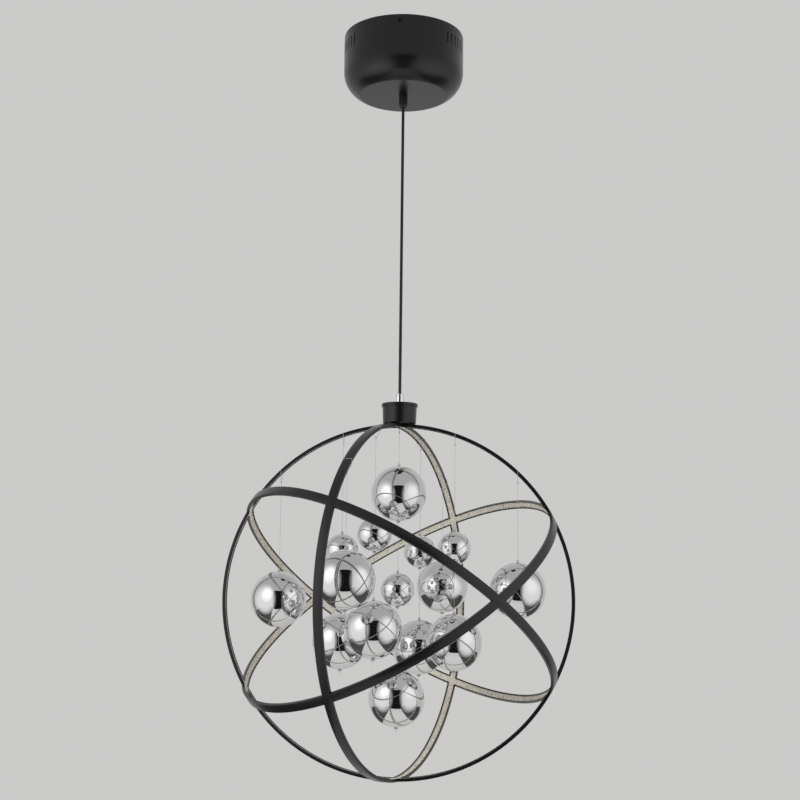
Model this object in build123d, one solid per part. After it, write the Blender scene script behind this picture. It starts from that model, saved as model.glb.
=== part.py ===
from build123d import *
import math
import os

# Orb chandelier: a ball-shaped cage of four hoops, hung on one cord from a
# drum canopy, with mirrored glass balls on clear lines inside the cage.
# Millimetres. The origin is the middle of the ceiling face of the canopy,
# +Z is up, and the first upright hoop lies in the XZ plane.

# ---------------------------------------------------------------- clearances
SEAT = 0.1            # between a piece and what it is glued, clamped or laid on
RUNNING = 0.3         # round a piece that turns or swings in another
THREAD = 0.05         # between a thread and its nut, drawn as plain cylinders
PASSING = 0.2         # round a screw or a stem that passes through a hole
CUT_PAST = 5.0        # how far a cut runs on beyond what it cuts
FILLET_LIMIT = 0.45   # largest fillet, as a share of the width it rounds

# ---------------------------------------------------------------- screw shapes
TIP_TAPER = 0.3              # share of a screw's radius that its tip loses
HEAD_TAPER = 0.3             # share of a head's radius that its top loses
HEAD_SIDE_SHARE = 0.5        # of a head's height that stands straight
RECESS_LENGTH_SHARE = 0.55   # cross recess, over the head's diameter
RECESS_WIDTH_SHARE = 0.12
RECESS_DEPTH_SHARE = 0.5     # of the head's height
NUT_BEVEL_SHARE = 0.6        # of the step from a nut's flats to its corners

# ---------------------------------------------------------------- suspension
SUSPENSION_DROP = 1000.0     # ceiling to the middle of the cage
CORD_DIAMETER = 5.2

# ---------------------------------------------------------------- canopy
CANOPY_DIAMETER = 214.0
CANOPY_HEIGHT = 106.0
CANOPY_WALL = 1.2
CANOPY_CURVE_RADIUS = 45.0   # of the rounded lower edge
CANOPY_CURVE_HEIGHT = 42.0   # of the same edge, down to the flat bottom
VENT_WIDTH = 3.0
VENT_HEIGHT = 21.5
VENT_TOP_DROP = 15.0         # ceiling to the top of a vent
VENTS_PER_GROUP = 6
VENT_FIRST_ANGLE = 50.0      # from the side screws' line
VENT_PITCH_ANGLE = 5.8

# ---------------------------------------------------------------- bracket
BRACKET_WIDTH = 25.0
BRACKET_THICKNESS = 1.5
BRACKET_EAR_LENGTH = 18.0
BRACKET_SLOT_SPACING = 170.0
BRACKET_SLOT_LENGTH = 18.0
BRACKET_SLOT_WIDTH = 5.5
SIDE_SCREW_DROP = 9.7        # ceiling to the side screws
SIDE_SCREW_DIAMETER = 4.0
SIDE_SCREW_LENGTH = 10.0
SIDE_SCREW_HEAD_DIAMETER = 7.0
SIDE_SCREW_HEAD_HEIGHT = 2.4

# ---------------------------------------------------------------- driver
DRIVER_LENGTH = 84.0
DRIVER_OFFSET = -20.0        # canopy's middle to the driver's, along the bar
DRIVER_WIDTH = 42.0
DRIVER_HEIGHT = 28.0
DRIVER_CORNER = 3.0
DRIVER_TAB_WIDTH = 14.0
DRIVER_TAB_LENGTH = 9.0
DRIVER_TAB_THICKNESS = 2.5
DRIVER_SCREW_DIAMETER = 3.5
DRIVER_SCREW_LENGTH = 4.0
DRIVER_SCREW_HEAD_DIAMETER = 6.0
DRIVER_SCREW_HEAD_HEIGHT = 1.8
INNER_LEAD_DROP = 56.0       # ceiling to the cord where it runs under the driver
INNER_LEAD_WALL_GAP = 5.2    # canopy's wall to the cord's outermost run
INNER_LEAD_RISE = 22.0       # canopy's floor to the cord's first bend
MAINS_LEAD_DIAMETER = 2.2
MAINS_LEAD_SPACING = 8.0
TERMINAL_LENGTH = 10.0
TERMINAL_GAP = 7.0           # driver's tab to the terminal block
TERMINAL_WIDTH = 24.0
TERMINAL_HEIGHT = 14.0
TERMINAL_POLES = 3
TERMINAL_SCREW_DIAMETER = 3.0
TERMINAL_SCREW_LENGTH = 3.0
TERMINAL_WELL_DEPTH = 6.0
MAINS_LEAD_DROP = 7.2        # driver's top to the wires

# ---------------------------------------------------------------- cord grip
GRIP_DIAMETER = 15.3
GRIP_LENGTH = 22.5
GRIP_NOSE_DIAMETER = 10.6
GRIP_NOSE_LENGTH = 4.0
GRIP_THREAD_DIAMETER = 9.8
GRIP_THREAD_LENGTH = 9.0
GRIP_NUT_WIDTH = 15.0        # across flats
GRIP_NUT_HEIGHT = 4.0
GRIP_PIVOT_DEPTH = 2.0       # nose face to the point the cord swings about
CORD_SWING_ANGLE = 15.0

# ---------------------------------------------------------------- hub
HUB_CUP_TOP_DIAMETER = 59.7
HUB_CUP_BOTTOM_DIAMETER = 57.4
HUB_CUP_HEIGHT = 34.0
HUB_CUP_WALL = 1.5
HUB_CUP_CORNER = 2.5
HUB_CUP_INNER_CORNER = 1.0
HUB_LID_SKIRT = 5.5
HUB_LID_WALL = 1.4
HUB_LID_CORNER = 1.0
GLAND_DIAMETER = 14.0
GLAND_HEIGHT = 18.0
GLAND_SOCKET_DEPTH = 8.0
GLAND_CORNER = 1.6
STEM_DIAMETER = 10.0
STEM_BORE_DIAMETER = 6.0
STEM_WINDOW_DIAMETER = 4.0
STEM_HEAD_DIAMETER = 11.2
STEM_HEAD_HEIGHT = 2.5
STEM_HEAD_BEVEL = 0.4
STEM_PIN_DIAMETER = 1.6
STEM_PIN_END_GAP = 0.2       # stem's side to each end of its cross pin
STEM_NUT_WIDTH = 14.0        # across flats
STEM_NUT_HEIGHT = 4.0
STEM_WASHER_DIAMETER = 18.0
STEM_WASHER_THICKNESS = 1.0
HUB_LEAD_DIAMETER = 4.4
SPLICE_LENGTH = 11.0
SPLICE_WIDTH = 14.0
SPLICE_HEIGHT = 14.0
SPLICE_CORNER = 1.1
STRIP_LEAD_DIAMETER = 1.4
STRIP_LEAD_SPACING = 3.2
STRIP_LEAD_REACH = 15.5      # stem axis to the strip leads
STRIP_STEM_GAP = 7.2         # stem's head to the ends of the strips

# ---------------------------------------------------------------- cage
CAGE_DIAMETER = 600.0
BAND_WIDTH = 14.5
BAND_DEPTH = 5.5
BAND_WALL = 1.5
BAND_BEVEL = 0.4
STRIP_WIDTH = 10.6
STRIP_THICKNESS = 0.6
TAPE_GLUE = 0.2              # between the groove's floor and the light tape
COVER_THICKNESS = 2.7
COVER_CROWN = 0.8            # how far the clear cover's middle bulges

# ---------------------------------------------------------------- balls
LARGE_BALL_DIAMETER = 95.0
SMALL_BALL_DIAMETER = 57.0
GLASS_WALL = 1.6
BALL_HOLE_DIAMETER = 4.4
LINE_DIAMETER = 0.8
LINE_TAIL = 7.0              # of the line below its last stopper
LOOP_SIDE_GAP = 0.25         # between a loop and the band's edge
LOOP_DROP = 2.5              # of the loop's corners below the band
LOOP_TAPER = 9.0             # of the loop from its corners to its knot
KNOT_DIAMETER = 2.4
KNOT_LENGTH = 4.0
CAP_DIAMETER = 6.4
CAP_FLANGE = 1.0
CAP_NIPPLE_DIAMETER = 4.0
CAP_NIPPLE_HEIGHT = 4.0
STOPPER_DIAMETER = 7.4
STOPPER_HEIGHT = 2.6
NECK_LENGTH = 3.0            # of a cap or stopper, inside the ball's hole
LOOP_BEND_SHARE = 2.0        # a loop's bend radius, over the line's radius

NEAR_REACH = 96.5            # cage axis to the four inner lines
FAR_REACH = 204.0            # cage axis to the four outer lines

# Heights of the balls' middles above the middle of the cage, as strung:
# each row is (large or small, height), from the top of the line down.
LARGE, SMALL = "large", "small"
STRINGS = {
    "centre": [(LARGE, 180.0), (SMALL, 16.0), (LARGE, -165.0)],
    "left_near": [(SMALL, 82.0), (LARGE, -71.0)],
    "right_near": [(SMALL, 87.0), (LARGE, -71.0)],
    "front_near": [(SMALL, 106.0), (LARGE, -49.0)],
    "back_near": [(SMALL, 84.0), (LARGE, -83.0)],
    "left_far": [(LARGE, -2.0)],
    "right_far": [(LARGE, 17.0)],
    "front_far": [(LARGE, 30.0)],
    "back_far": [(LARGE, 24.0)],
}

# ---------------------------------------------------------------- derived
# The hoops stand as the four hexagons of a cuboctahedron, so every crossing
# is 60 degrees along the hoop from the next one.
TILT = math.degrees(math.asin(1 / math.sqrt(3)))          # 35.26
UPRIGHT_ANGLE = -math.degrees(math.acos(-1 / 3))          # -109.47
RIDGE_ANGLE = UPRIGHT_ANGLE / 2                           # -54.74

CAGE_Z = -SUSPENSION_DROP
CAGE_RADIUS = CAGE_DIAMETER / 2
GROOVE_FLOOR_RADIUS = CAGE_RADIUS - BAND_WALL
BAND_INNER_RADIUS = CAGE_RADIUS - BAND_DEPTH
GROOVE_WIDTH = BAND_WIDTH - 2 * BAND_WALL
STRIP_OUTER_RADIUS = GROOVE_FLOOR_RADIUS - TAPE_GLUE
STRIP_INNER_RADIUS = STRIP_OUTER_RADIUS - STRIP_THICKNESS

CANOPY_RADIUS = CANOPY_DIAMETER / 2
CANOPY_BOTTOM_Z = -CANOPY_HEIGHT
EAR_FACE = (
    math.sqrt((CANOPY_RADIUS - CANOPY_WALL) ** 2 - (BRACKET_WIDTH / 2) ** 2)
    - PASSING
)

CORD_RADIUS = CORD_DIAMETER / 2
GRIP_BOTTOM_Z = CANOPY_BOTTOM_Z - GRIP_LENGTH
PIVOT_Z = GRIP_BOTTOM_Z + GRIP_PIVOT_DEPTH
LEAD_START_Z = PIVOT_Z + CORD_RADIUS + RUNNING

POLE_Z = CAGE_Z + CAGE_RADIUS
CUP_FLOOR_Z = POLE_Z + HUB_CUP_WALL
CUP_RIM_Z = POLE_Z + HUB_CUP_HEIGHT
LID_TOP_Z = CUP_RIM_Z + SEAT + HUB_LID_WALL
GLAND_TOP_Z = LID_TOP_Z + GLAND_HEIGHT
STEM_TOP_Z = LID_TOP_Z + GLAND_SOCKET_DEPTH - RUNNING
CORD_END_Z = LID_TOP_Z + GLAND_SOCKET_DEPTH + RUNNING
STEM_HEAD_TOP_Z = (
    CAGE_Z
    + math.sqrt(GROOVE_FLOOR_RADIUS**2 - (STEM_HEAD_DIAMETER / 2) ** 2)
    - SEAT
)
STEM_BOTTOM_Z = STEM_HEAD_TOP_Z - STEM_HEAD_HEIGHT
WASHER_TOP_Z = CUP_FLOOR_Z + SEAT + STEM_WASHER_THICKNESS
LOWER_NUT_Z = WASHER_TOP_Z + SEAT
UPPER_NUT_Z = CUP_RIM_Z - STEM_NUT_HEIGHT
SPLICE_Z = CUP_FLOOR_Z + SEAT + SPLICE_HEIGHT / 2
WINDOW_Z = LOWER_NUT_Z + STEM_NUT_HEIGHT + STEM_WINDOW_DIAMETER / 2 + PASSING
PIN_Z = STEM_HEAD_TOP_Z + STEM_PIN_DIAMETER
POLE_GAP_RADIUS = STEM_HEAD_DIAMETER / 2 + STRIP_STEM_GAP


def ring_location(normal_azimuth, normal_tilt):
    """Place of a hoop whose own axis leans normal_tilt from the vertical."""
    azimuth = math.radians(normal_azimuth)
    tilt = math.radians(normal_tilt)
    normal = Vector(
        math.sin(tilt) * math.cos(azimuth),
        math.sin(tilt) * math.sin(azimuth),
        math.cos(tilt),
    )
    level = Vector(-math.sin(azimuth), math.cos(azimuth), 0)
    return Location(Plane(origin=(0, 0, CAGE_Z), x_dir=level, z_dir=normal))


HOOPS = {
    "upright_hoop_a": ring_location(-90, 90),
    "upright_hoop_b": ring_location(UPRIGHT_ANGLE - 90, 90),
    "tilted_hoop_c": ring_location(RIDGE_ANGLE + 90, TILT),
    "tilted_hoop_d": ring_location(RIDGE_ANGLE - 90, TILT),
}


def turned(points):
    """Solid of revolution about Z from (radius, height) points."""
    outline = Polyline(*[(r, 0, z) for r, z in points], close=True)
    return revolve(make_face(outline), Axis.Z)


def rod(radius, z_low, z_high, x=0.0, y=0.0):
    """Upright cylinder between two heights."""
    height = z_high - z_low
    return Pos(x, y, z_low + height / 2) * Cylinder(radius, height)


def rod_along_x(radius, start, end, y, z):
    """Level cylinder along X, from start to end."""
    return Pos((start + end) / 2, y, z) * Rot(0, 90, 0) * Cylinder(radius, end - start)


def rod_along_y(radius, start, end, x, z):
    """Level cylinder along Y, from start to end."""
    return Pos(x, (start + end) / 2, z) * Rot(90, 0, 0) * Cylinder(radius, end - start)


def bend_radii(route):
    """Radius of each bend of a route, as large as its two runs allow."""
    points = [Vector(*point) for point in route]
    runs = [after - before for before, after in zip(points, points[1:])]
    radii = []
    for run, next_run in zip(runs, runs[1:]):
        half_turn = math.radians(run.get_angle(next_run)) / 2
        shorter = min(run.length, next_run.length)
        radii.append(FILLET_LIMIT * shorter / math.tan(half_turn))
    return radii


def hexagon_nut(width, height, bore_radius, z_low):
    """Hexagon nut standing on z_low, with its corners bevelled."""
    outline = extrude(RegularPolygon(width / 2, 6, major_radius=False), height)
    corner = width / math.sqrt(3)
    bevel = (corner - width / 2) * NUT_BEVEL_SHARE
    cone = turned(
        [
            (0, 0),
            (corner - bevel, 0),
            (corner, bevel / 2),
            (corner, height - bevel / 2),
            (corner - bevel, height),
            (0, height),
        ]
    )
    nut = (outline & cone) - rod(bore_radius, -CUT_PAST, height + CUT_PAST)
    return Pos(0, 0, z_low) * nut


def pan_screw(diameter, length, head_diameter, head_height):
    """Pan-head screw: its head's seat at the origin, its shank along -Z."""
    head = head_diameter / 2
    shank = diameter / 2
    body = turned(
        [
            (0, -length),
            (shank * (1 - TIP_TAPER), -length),
            (shank, -length + shank * TIP_TAPER),
            (shank, 0),
            (head, 0),
            (head, head_height * HEAD_SIDE_SHARE),
            (head * (1 - HEAD_TAPER), head_height),
            (0, head_height),
        ]
    )
    recess = Pos(0, 0, head_height) * Box(
        head_diameter * RECESS_LENGTH_SHARE,
        head_diameter * RECESS_WIDTH_SHARE,
        2 * head_height * RECESS_DEPTH_SHARE,
    )
    return body - recess - Rot(0, 0, 90) * recess


# ------------------------------------------------------------------ canopy
def canopy_outline(inset):
    """Face of the canopy's half section, inset from its outer surface."""
    curve_radius = CANOPY_CURVE_RADIUS - inset
    curve_x = CANOPY_RADIUS - CANOPY_CURVE_RADIUS
    curve_z = CANOPY_BOTTOM_Z + CANOPY_CURVE_HEIGHT
    floor_z = CANOPY_BOTTOM_Z + inset
    rim_z = CUT_PAST if inset else 0
    end_angle = -math.degrees(math.asin((curve_z - floor_z) / curve_radius))
    with BuildSketch(Plane.XZ) as section:
        with BuildLine():
            arc = CenterArc((curve_x, curve_z), curve_radius, 0, end_angle)
            Line(arc @ 1, (0, floor_z))
            Polyline((0, floor_z), (0, rim_z), (CANOPY_RADIUS - inset, rim_z), arc @ 0)
        make_face()
    return section.sketch


def canopy_shell():
    """Drum with a rounded lower edge, open towards the ceiling."""
    shell = revolve(canopy_outline(0), Axis.Z) - revolve(canopy_outline(CANOPY_WALL), Axis.Z)
    shell -= rod(
        GRIP_THREAD_DIAMETER / 2 + PASSING, CANOPY_BOTTOM_Z - CUT_PAST, CANOPY_BOTTOM_Z + CUT_PAST
    )
    vent_z = -VENT_TOP_DROP - VENT_HEIGHT / 2
    for side in (-1, 1):
        for end in (-1, 1):
            for index in range(VENTS_PER_GROUP):
                angle = VENT_FIRST_ANGLE + index * VENT_PITCH_ANGLE
                vent = Pos(CANOPY_RADIUS, 0, vent_z) * Box(
                    2 * CUT_PAST, VENT_WIDTH, VENT_HEIGHT
                )
                vent = fillet(vent.edges().filter_by(Axis.X), VENT_WIDTH * FILLET_LIMIT)
                shell -= Rot(0, 0, end * (90 - side * angle)) * vent
    return shell - rod_along_y(
        SIDE_SCREW_DIAMETER / 2 + PASSING,
        -CANOPY_RADIUS - CUT_PAST,
        CANOPY_RADIUS + CUT_PAST,
        0,
        -SIDE_SCREW_DROP,
    )


def driver_screw_y(end):
    """Place along the bar of the driver's screw at one end."""
    return DRIVER_OFFSET + end * (DRIVER_LENGTH + DRIVER_TAB_LENGTH) / 2


def ceiling_bracket():
    """Steel bar with slots for two ceiling screws and an ear at each end."""
    bar = Pos(0, 0, -BRACKET_THICKNESS / 2) * Box(BRACKET_WIDTH, 2 * EAR_FACE, BRACKET_THICKNESS)
    for end in (-1, 1):
        bar += Pos(0, end * (EAR_FACE - BRACKET_THICKNESS / 2), -BRACKET_EAR_LENGTH / 2) * Box(
            BRACKET_WIDTH, BRACKET_THICKNESS, BRACKET_EAR_LENGTH
        )
        slot = extrude(SlotOverall(BRACKET_SLOT_LENGTH, BRACKET_SLOT_WIDTH), CUT_PAST, both=True)
        bar -= Pos(0, end * BRACKET_SLOT_SPACING / 2, 0) * Rot(0, 0, 90) * slot
        bar -= rod(
            DRIVER_SCREW_DIAMETER / 2 + THREAD, -CUT_PAST, CUT_PAST, 0, driver_screw_y(end)
        )
    return bar - rod_along_y(
        SIDE_SCREW_DIAMETER / 2 + THREAD, -CANOPY_RADIUS, CANOPY_RADIUS, 0, -SIDE_SCREW_DROP
    )


def canopy_side_screws():
    """The two screws that hold the canopy to the bracket's ears."""
    screw = pan_screw(
        SIDE_SCREW_DIAMETER, SIDE_SCREW_LENGTH, SIDE_SCREW_HEAD_DIAMETER, SIDE_SCREW_HEAD_HEIGHT
    )
    front = Pos(0, -CANOPY_RADIUS - SEAT, -SIDE_SCREW_DROP) * Rot(90, 0, 0) * screw
    back = Pos(0, CANOPY_RADIUS + SEAT, -SIDE_SCREW_DROP) * Rot(-90, 0, 0) * screw
    return Compound(children=[front.solid(), back.solid()])


DRIVER_TOP_Z = -BRACKET_THICKNESS - SEAT


def led_driver():
    """Sealed power supply under the bar, with a screw tab at each end."""
    case = Pos(0, DRIVER_OFFSET, DRIVER_TOP_Z - DRIVER_HEIGHT / 2) * Box(
        DRIVER_WIDTH, DRIVER_LENGTH, DRIVER_HEIGHT
    )
    case = fillet(case.edges().filter_by(Axis.Y), DRIVER_CORNER)
    case += Pos(0, DRIVER_OFFSET, DRIVER_TOP_Z - DRIVER_TAB_THICKNESS / 2) * Box(
        DRIVER_TAB_WIDTH, DRIVER_LENGTH + 2 * DRIVER_TAB_LENGTH, DRIVER_TAB_THICKNESS
    )
    hole_bottom_z = DRIVER_TOP_Z - DRIVER_TAB_THICKNESS - CUT_PAST
    for end in (-1, 1):
        case -= rod(
            DRIVER_SCREW_DIAMETER / 2 + PASSING, hole_bottom_z, CUT_PAST, 0, driver_screw_y(end)
        )
    return case


def driver_screws():
    """Two screws from under the driver's tabs into the bar."""
    screws = []
    for end in (-1, 1):
        screw = pan_screw(
            DRIVER_SCREW_DIAMETER,
            DRIVER_SCREW_LENGTH,
            DRIVER_SCREW_HEAD_DIAMETER,
            DRIVER_SCREW_HEAD_HEIGHT,
        )
        place = Pos(0, driver_screw_y(end), DRIVER_TOP_Z - DRIVER_TAB_THICKNESS - SEAT)
        screws.append((place * Rot(180, 0, 0) * screw).solid())
    return Compound(children=screws)


TERMINAL_Y = (
    DRIVER_OFFSET + DRIVER_LENGTH / 2 + DRIVER_TAB_LENGTH + TERMINAL_GAP + TERMINAL_LENGTH / 2
)


def pole_places():
    """Sideways places of the terminal block's poles."""
    pitch = TERMINAL_WIDTH / TERMINAL_POLES
    return [(index - (TERMINAL_POLES - 1) / 2) * pitch for index in range(TERMINAL_POLES)]


def terminal_block():
    """Block for the mains wires, with a screw well for each pole."""
    block = Pos(0, TERMINAL_Y, DRIVER_TOP_Z - TERMINAL_HEIGHT / 2) * Box(
        TERMINAL_WIDTH, TERMINAL_LENGTH, TERMINAL_HEIGHT
    )
    for x in pole_places():
        block -= rod(
            TERMINAL_SCREW_DIAMETER / 2 + PASSING,
            DRIVER_TOP_Z - TERMINAL_HEIGHT - CUT_PAST,
            DRIVER_TOP_Z - TERMINAL_HEIGHT + TERMINAL_WELL_DEPTH,
            x,
            TERMINAL_Y,
        )
    return block


def terminal_screws():
    """The poles' screws, at the inner ends of their wells."""
    top = DRIVER_TOP_Z - TERMINAL_HEIGHT + TERMINAL_WELL_DEPTH - SEAT
    return Compound(
        children=[
            rod(TERMINAL_SCREW_DIAMETER / 2, top - TERMINAL_SCREW_LENGTH, top, x, TERMINAL_Y).solid()
            for x in pole_places()
        ]
    )


def mains_leads():
    """Live and neutral wires from the driver to the terminal block."""
    start = DRIVER_OFFSET + DRIVER_LENGTH / 2
    end = TERMINAL_Y - TERMINAL_LENGTH / 2
    lead_z = DRIVER_TOP_Z - MAINS_LEAD_DROP
    return Compound(
        children=[
            rod_along_y(MAINS_LEAD_DIAMETER / 2, start, end, x, lead_z).solid()
            for x in (-MAINS_LEAD_SPACING, MAINS_LEAD_SPACING)
        ]
    )


def inner_lead():
    """The cord inside the canopy, from the grip round to the driver's end."""
    end_y = DRIVER_OFFSET - DRIVER_LENGTH / 2
    out_y = -(CANOPY_DIAMETER / 2 - CANOPY_WALL - INNER_LEAD_WALL_GAP - CORD_RADIUS)
    end_z = DRIVER_TOP_Z - DRIVER_HEIGHT / 2
    route = [
        (0, 0, LEAD_START_Z),
        (0, 0, CANOPY_BOTTOM_Z + CANOPY_WALL + INNER_LEAD_RISE),
        (0, out_y / 2, -INNER_LEAD_DROP),
        (0, out_y, -INNER_LEAD_DROP),
        (0, out_y, end_z),
        (0, end_y, end_z),
    ]
    radii = bend_radii(route)
    print("bend radii of the inner lead:", [round(radius, 1) for radius in radii])
    path = FilletPolyline(*route, radius=radii)
    start = Plane(origin=route[0], z_dir=(0, 0, 1))
    return sweep(start * Circle(CORD_RADIUS), path)


def cord_grip_body():
    """Strain relief under the canopy, flared where the cord swings out."""
    body = GRIP_DIAMETER / 2
    nose = GRIP_NOSE_DIAMETER / 2
    bore = CORD_RADIUS + RUNNING
    outside = turned(
        [
            (0, GRIP_BOTTOM_Z),
            (nose, GRIP_BOTTOM_Z),
            (body, GRIP_BOTTOM_Z + GRIP_NOSE_LENGTH),
            (body, CANOPY_BOTTOM_Z),
            (GRIP_THREAD_DIAMETER / 2, CANOPY_BOTTOM_Z),
            (GRIP_THREAD_DIAMETER / 2, CANOPY_BOTTOM_Z + GRIP_THREAD_LENGTH),
            (0, CANOPY_BOTTOM_Z + GRIP_THREAD_LENGTH),
        ]
    )
    swing = math.radians(CORD_SWING_ANGLE)
    flare = CORD_RADIUS / math.cos(swing) + GRIP_PIVOT_DEPTH * math.tan(swing) + RUNNING
    cavity = turned(
        [
            (0, GRIP_BOTTOM_Z - CUT_PAST),
            (flare, GRIP_BOTTOM_Z - CUT_PAST),
            (flare, GRIP_BOTTOM_Z),
            (bore, PIVOT_Z),
            (bore, 0),
            (0, 0),
        ]
    )
    return outside - cavity


def cord_grip_nut():
    """Nut that holds the grip, on the canopy's floor."""
    return hexagon_nut(
        GRIP_NUT_WIDTH,
        GRIP_NUT_HEIGHT,
        GRIP_THREAD_DIAMETER / 2 + THREAD,
        CANOPY_BOTTOM_Z + CANOPY_WALL + SEAT,
    )


def cord():
    """The free cord, straight under its load, round where it swings."""
    tube = rod(CORD_RADIUS, CORD_END_Z, PIVOT_Z)
    return tube + Pos(0, 0, PIVOT_Z) * Sphere(CORD_RADIUS)


# --------------------------------------------------------------------- hub
def cord_gland():
    """Chromed gland on the lid: thread socket below, cord bore above."""
    outer = GLAND_DIAMETER / 2
    gland = rod(outer, LID_TOP_Z + SEAT, GLAND_TOP_Z)
    gland = fillet(gland.edges().group_by(Axis.Z)[-1], GLAND_CORNER)
    gland -= rod(CORD_RADIUS + RUNNING, LID_TOP_Z, GLAND_TOP_Z + CUT_PAST)
    return gland - rod(STEM_DIAMETER / 2 + THREAD, LID_TOP_Z, LID_TOP_Z + GLAND_SOCKET_DEPTH)


def hub_lid():
    """Shallow cap whose skirt goes over the cup's rim."""
    inner = HUB_CUP_TOP_DIAMETER / 2 + PASSING
    lid = rod(inner + HUB_LID_WALL, LID_TOP_Z - HUB_LID_SKIRT, LID_TOP_Z)
    lid = fillet(lid.edges().group_by(Axis.Z)[-1], HUB_LID_CORNER)
    lid -= rod(inner, LID_TOP_Z - HUB_LID_SKIRT - CUT_PAST, CUP_RIM_Z + SEAT)
    return lid - rod(STEM_DIAMETER / 2 + PASSING, CUP_RIM_Z, LID_TOP_Z + CUT_PAST)


def hub_cup():
    """Tapered cup that stands on the crossing of the upright hoops."""
    bottom = HUB_CUP_BOTTOM_DIAMETER / 2
    top = HUB_CUP_TOP_DIAMETER / 2
    outside = turned([(0, POLE_Z), (bottom, POLE_Z), (top, CUP_RIM_Z), (0, CUP_RIM_Z)])
    outside = fillet(outside.edges().group_by(Axis.Z)[0], HUB_CUP_CORNER)
    inside = turned(
        [
            (0, CUP_FLOOR_Z),
            (bottom - HUB_CUP_WALL, CUP_FLOOR_Z),
            (top - HUB_CUP_WALL, CUP_RIM_Z),
            (top - HUB_CUP_WALL, CUP_RIM_Z + CUT_PAST),
            (0, CUP_RIM_Z + CUT_PAST),
        ]
    )
    inside = fillet(inside.edges().group_by(Axis.Z)[0], HUB_CUP_INNER_CORNER)
    cup = outside - inside
    cup -= rod(STEM_DIAMETER / 2 + PASSING, POLE_Z - CUT_PAST, CUP_RIM_Z)
    return cup - strip_lead_slot(POLE_Z - CUT_PAST, CUP_RIM_Z)


def strip_lead_slot(z_low, z_high):
    """Slot that lets the strips' two wires through the cup and the hoop."""
    width = STRIP_LEAD_DIAMETER + 2 * PASSING
    slot = extrude(SlotOverall(STRIP_LEAD_SPACING + width, width), z_high - z_low)
    return Pos(STRIP_LEAD_REACH, 0, z_low) * Rot(0, 0, 90) * slot


def hub_stem():
    """Hollow bolt through the crossing, cup, lid and gland.

    Its head hides in the crossed grooves, and a pin holds the middle line.
    """
    head = rod(STEM_HEAD_DIAMETER / 2, STEM_BOTTOM_Z, STEM_HEAD_TOP_Z)
    head = chamfer(head.edges().group_by(Axis.Z)[0], STEM_HEAD_BEVEL)
    stem = head + rod(STEM_DIAMETER / 2, STEM_BOTTOM_Z + STEM_HEAD_HEIGHT / 2, STEM_TOP_Z)
    stem -= rod(STEM_BORE_DIAMETER / 2, STEM_BOTTOM_Z - CUT_PAST, STEM_TOP_Z + CUT_PAST)
    stem -= rod_along_x(STEM_WINDOW_DIAMETER / 2, 0, STEM_DIAMETER, 0, WINDOW_Z)
    hole = STEM_PIN_DIAMETER / 2 + THREAD
    return stem - rod_along_y(hole, -STEM_DIAMETER, STEM_DIAMETER, 0, PIN_Z)


def hub_pin():
    """Cross pin in the stem, over which the middle line hangs."""
    half = STEM_DIAMETER / 2 - STEM_PIN_END_GAP
    return rod_along_y(STEM_PIN_DIAMETER / 2, -half, half, 0, PIN_Z)


def hub_nuts():
    """The stem's nuts: one on the washer, one under the lid."""
    bore = STEM_DIAMETER / 2 + THREAD
    upper = hexagon_nut(STEM_NUT_WIDTH, STEM_NUT_HEIGHT, bore, UPPER_NUT_Z)
    lower = hexagon_nut(STEM_NUT_WIDTH, STEM_NUT_HEIGHT, bore, LOWER_NUT_Z)
    return Compound(children=[upper.solid(), lower.solid()])


def hub_washer():
    """Washer between the lower nut and the cup's floor."""
    washer = rod(STEM_WASHER_DIAMETER / 2, CUP_FLOOR_Z + SEAT, WASHER_TOP_Z)
    return washer - rod(STEM_DIAMETER / 2 + PASSING, CUP_FLOOR_Z, LOWER_NUT_Z)


def hub_splice():
    """Connector in the cup, where the cord meets the strips' wires."""
    splice = Pos(STRIP_LEAD_REACH, 0, SPLICE_Z) * Box(SPLICE_LENGTH, SPLICE_WIDTH, SPLICE_HEIGHT)
    return chamfer(splice.edges().filter_by(Axis.Z), SPLICE_CORNER)


def hub_lead():
    """End of the cord, down the stem and out of its window to the splice."""
    radius = HUB_LEAD_DIAMETER / 2
    branch = STEM_WINDOW_DIAMETER / 2 - PASSING
    upright = rod(radius, WINDOW_Z - radius, CORD_END_Z - RUNNING)
    return upright + rod_along_x(branch, 0, STRIP_LEAD_REACH - SPLICE_LENGTH / 2, 0, WINDOW_Z)


def strip_leads():
    """Two wires from the splice down to the first strip."""
    end_z = CAGE_Z + math.sqrt(STRIP_OUTER_RADIUS**2 - STRIP_LEAD_REACH**2)
    radius = STRIP_LEAD_DIAMETER / 2
    slope = radius * STRIP_LEAD_REACH / STRIP_OUTER_RADIUS
    return Compound(
        children=[
            rod(radius, end_z + slope, SPLICE_Z - SPLICE_HEIGHT / 2, STRIP_LEAD_REACH, y).solid()
            for y in (-STRIP_LEAD_SPACING / 2, STRIP_LEAD_SPACING / 2)
        ]
    )


# -------------------------------------------------------------------- cage
def band_ring(inner, outer, width, bevel=0.0):
    """Flat ring about Z, with its outer edges bevelled."""
    half = width / 2
    return turned(
        [
            (inner, -half),
            (outer - bevel, -half),
            (outer, -half + bevel),
            (outer, half - bevel),
            (outer - bevel, half),
            (inner, half),
        ]
        if bevel
        else [(inner, -half), (outer, -half), (outer, half), (inner, half)]
    )


def groove_ring():
    """What the channel's groove takes out, open towards the middle."""
    return band_ring(BAND_INNER_RADIUS - CUT_PAST, GROOVE_FLOOR_RADIUS, GROOVE_WIDTH)


def as_node(shape):
    """A shape's solids as one compound."""
    return Compound(children=list(shape.solids()))


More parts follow.
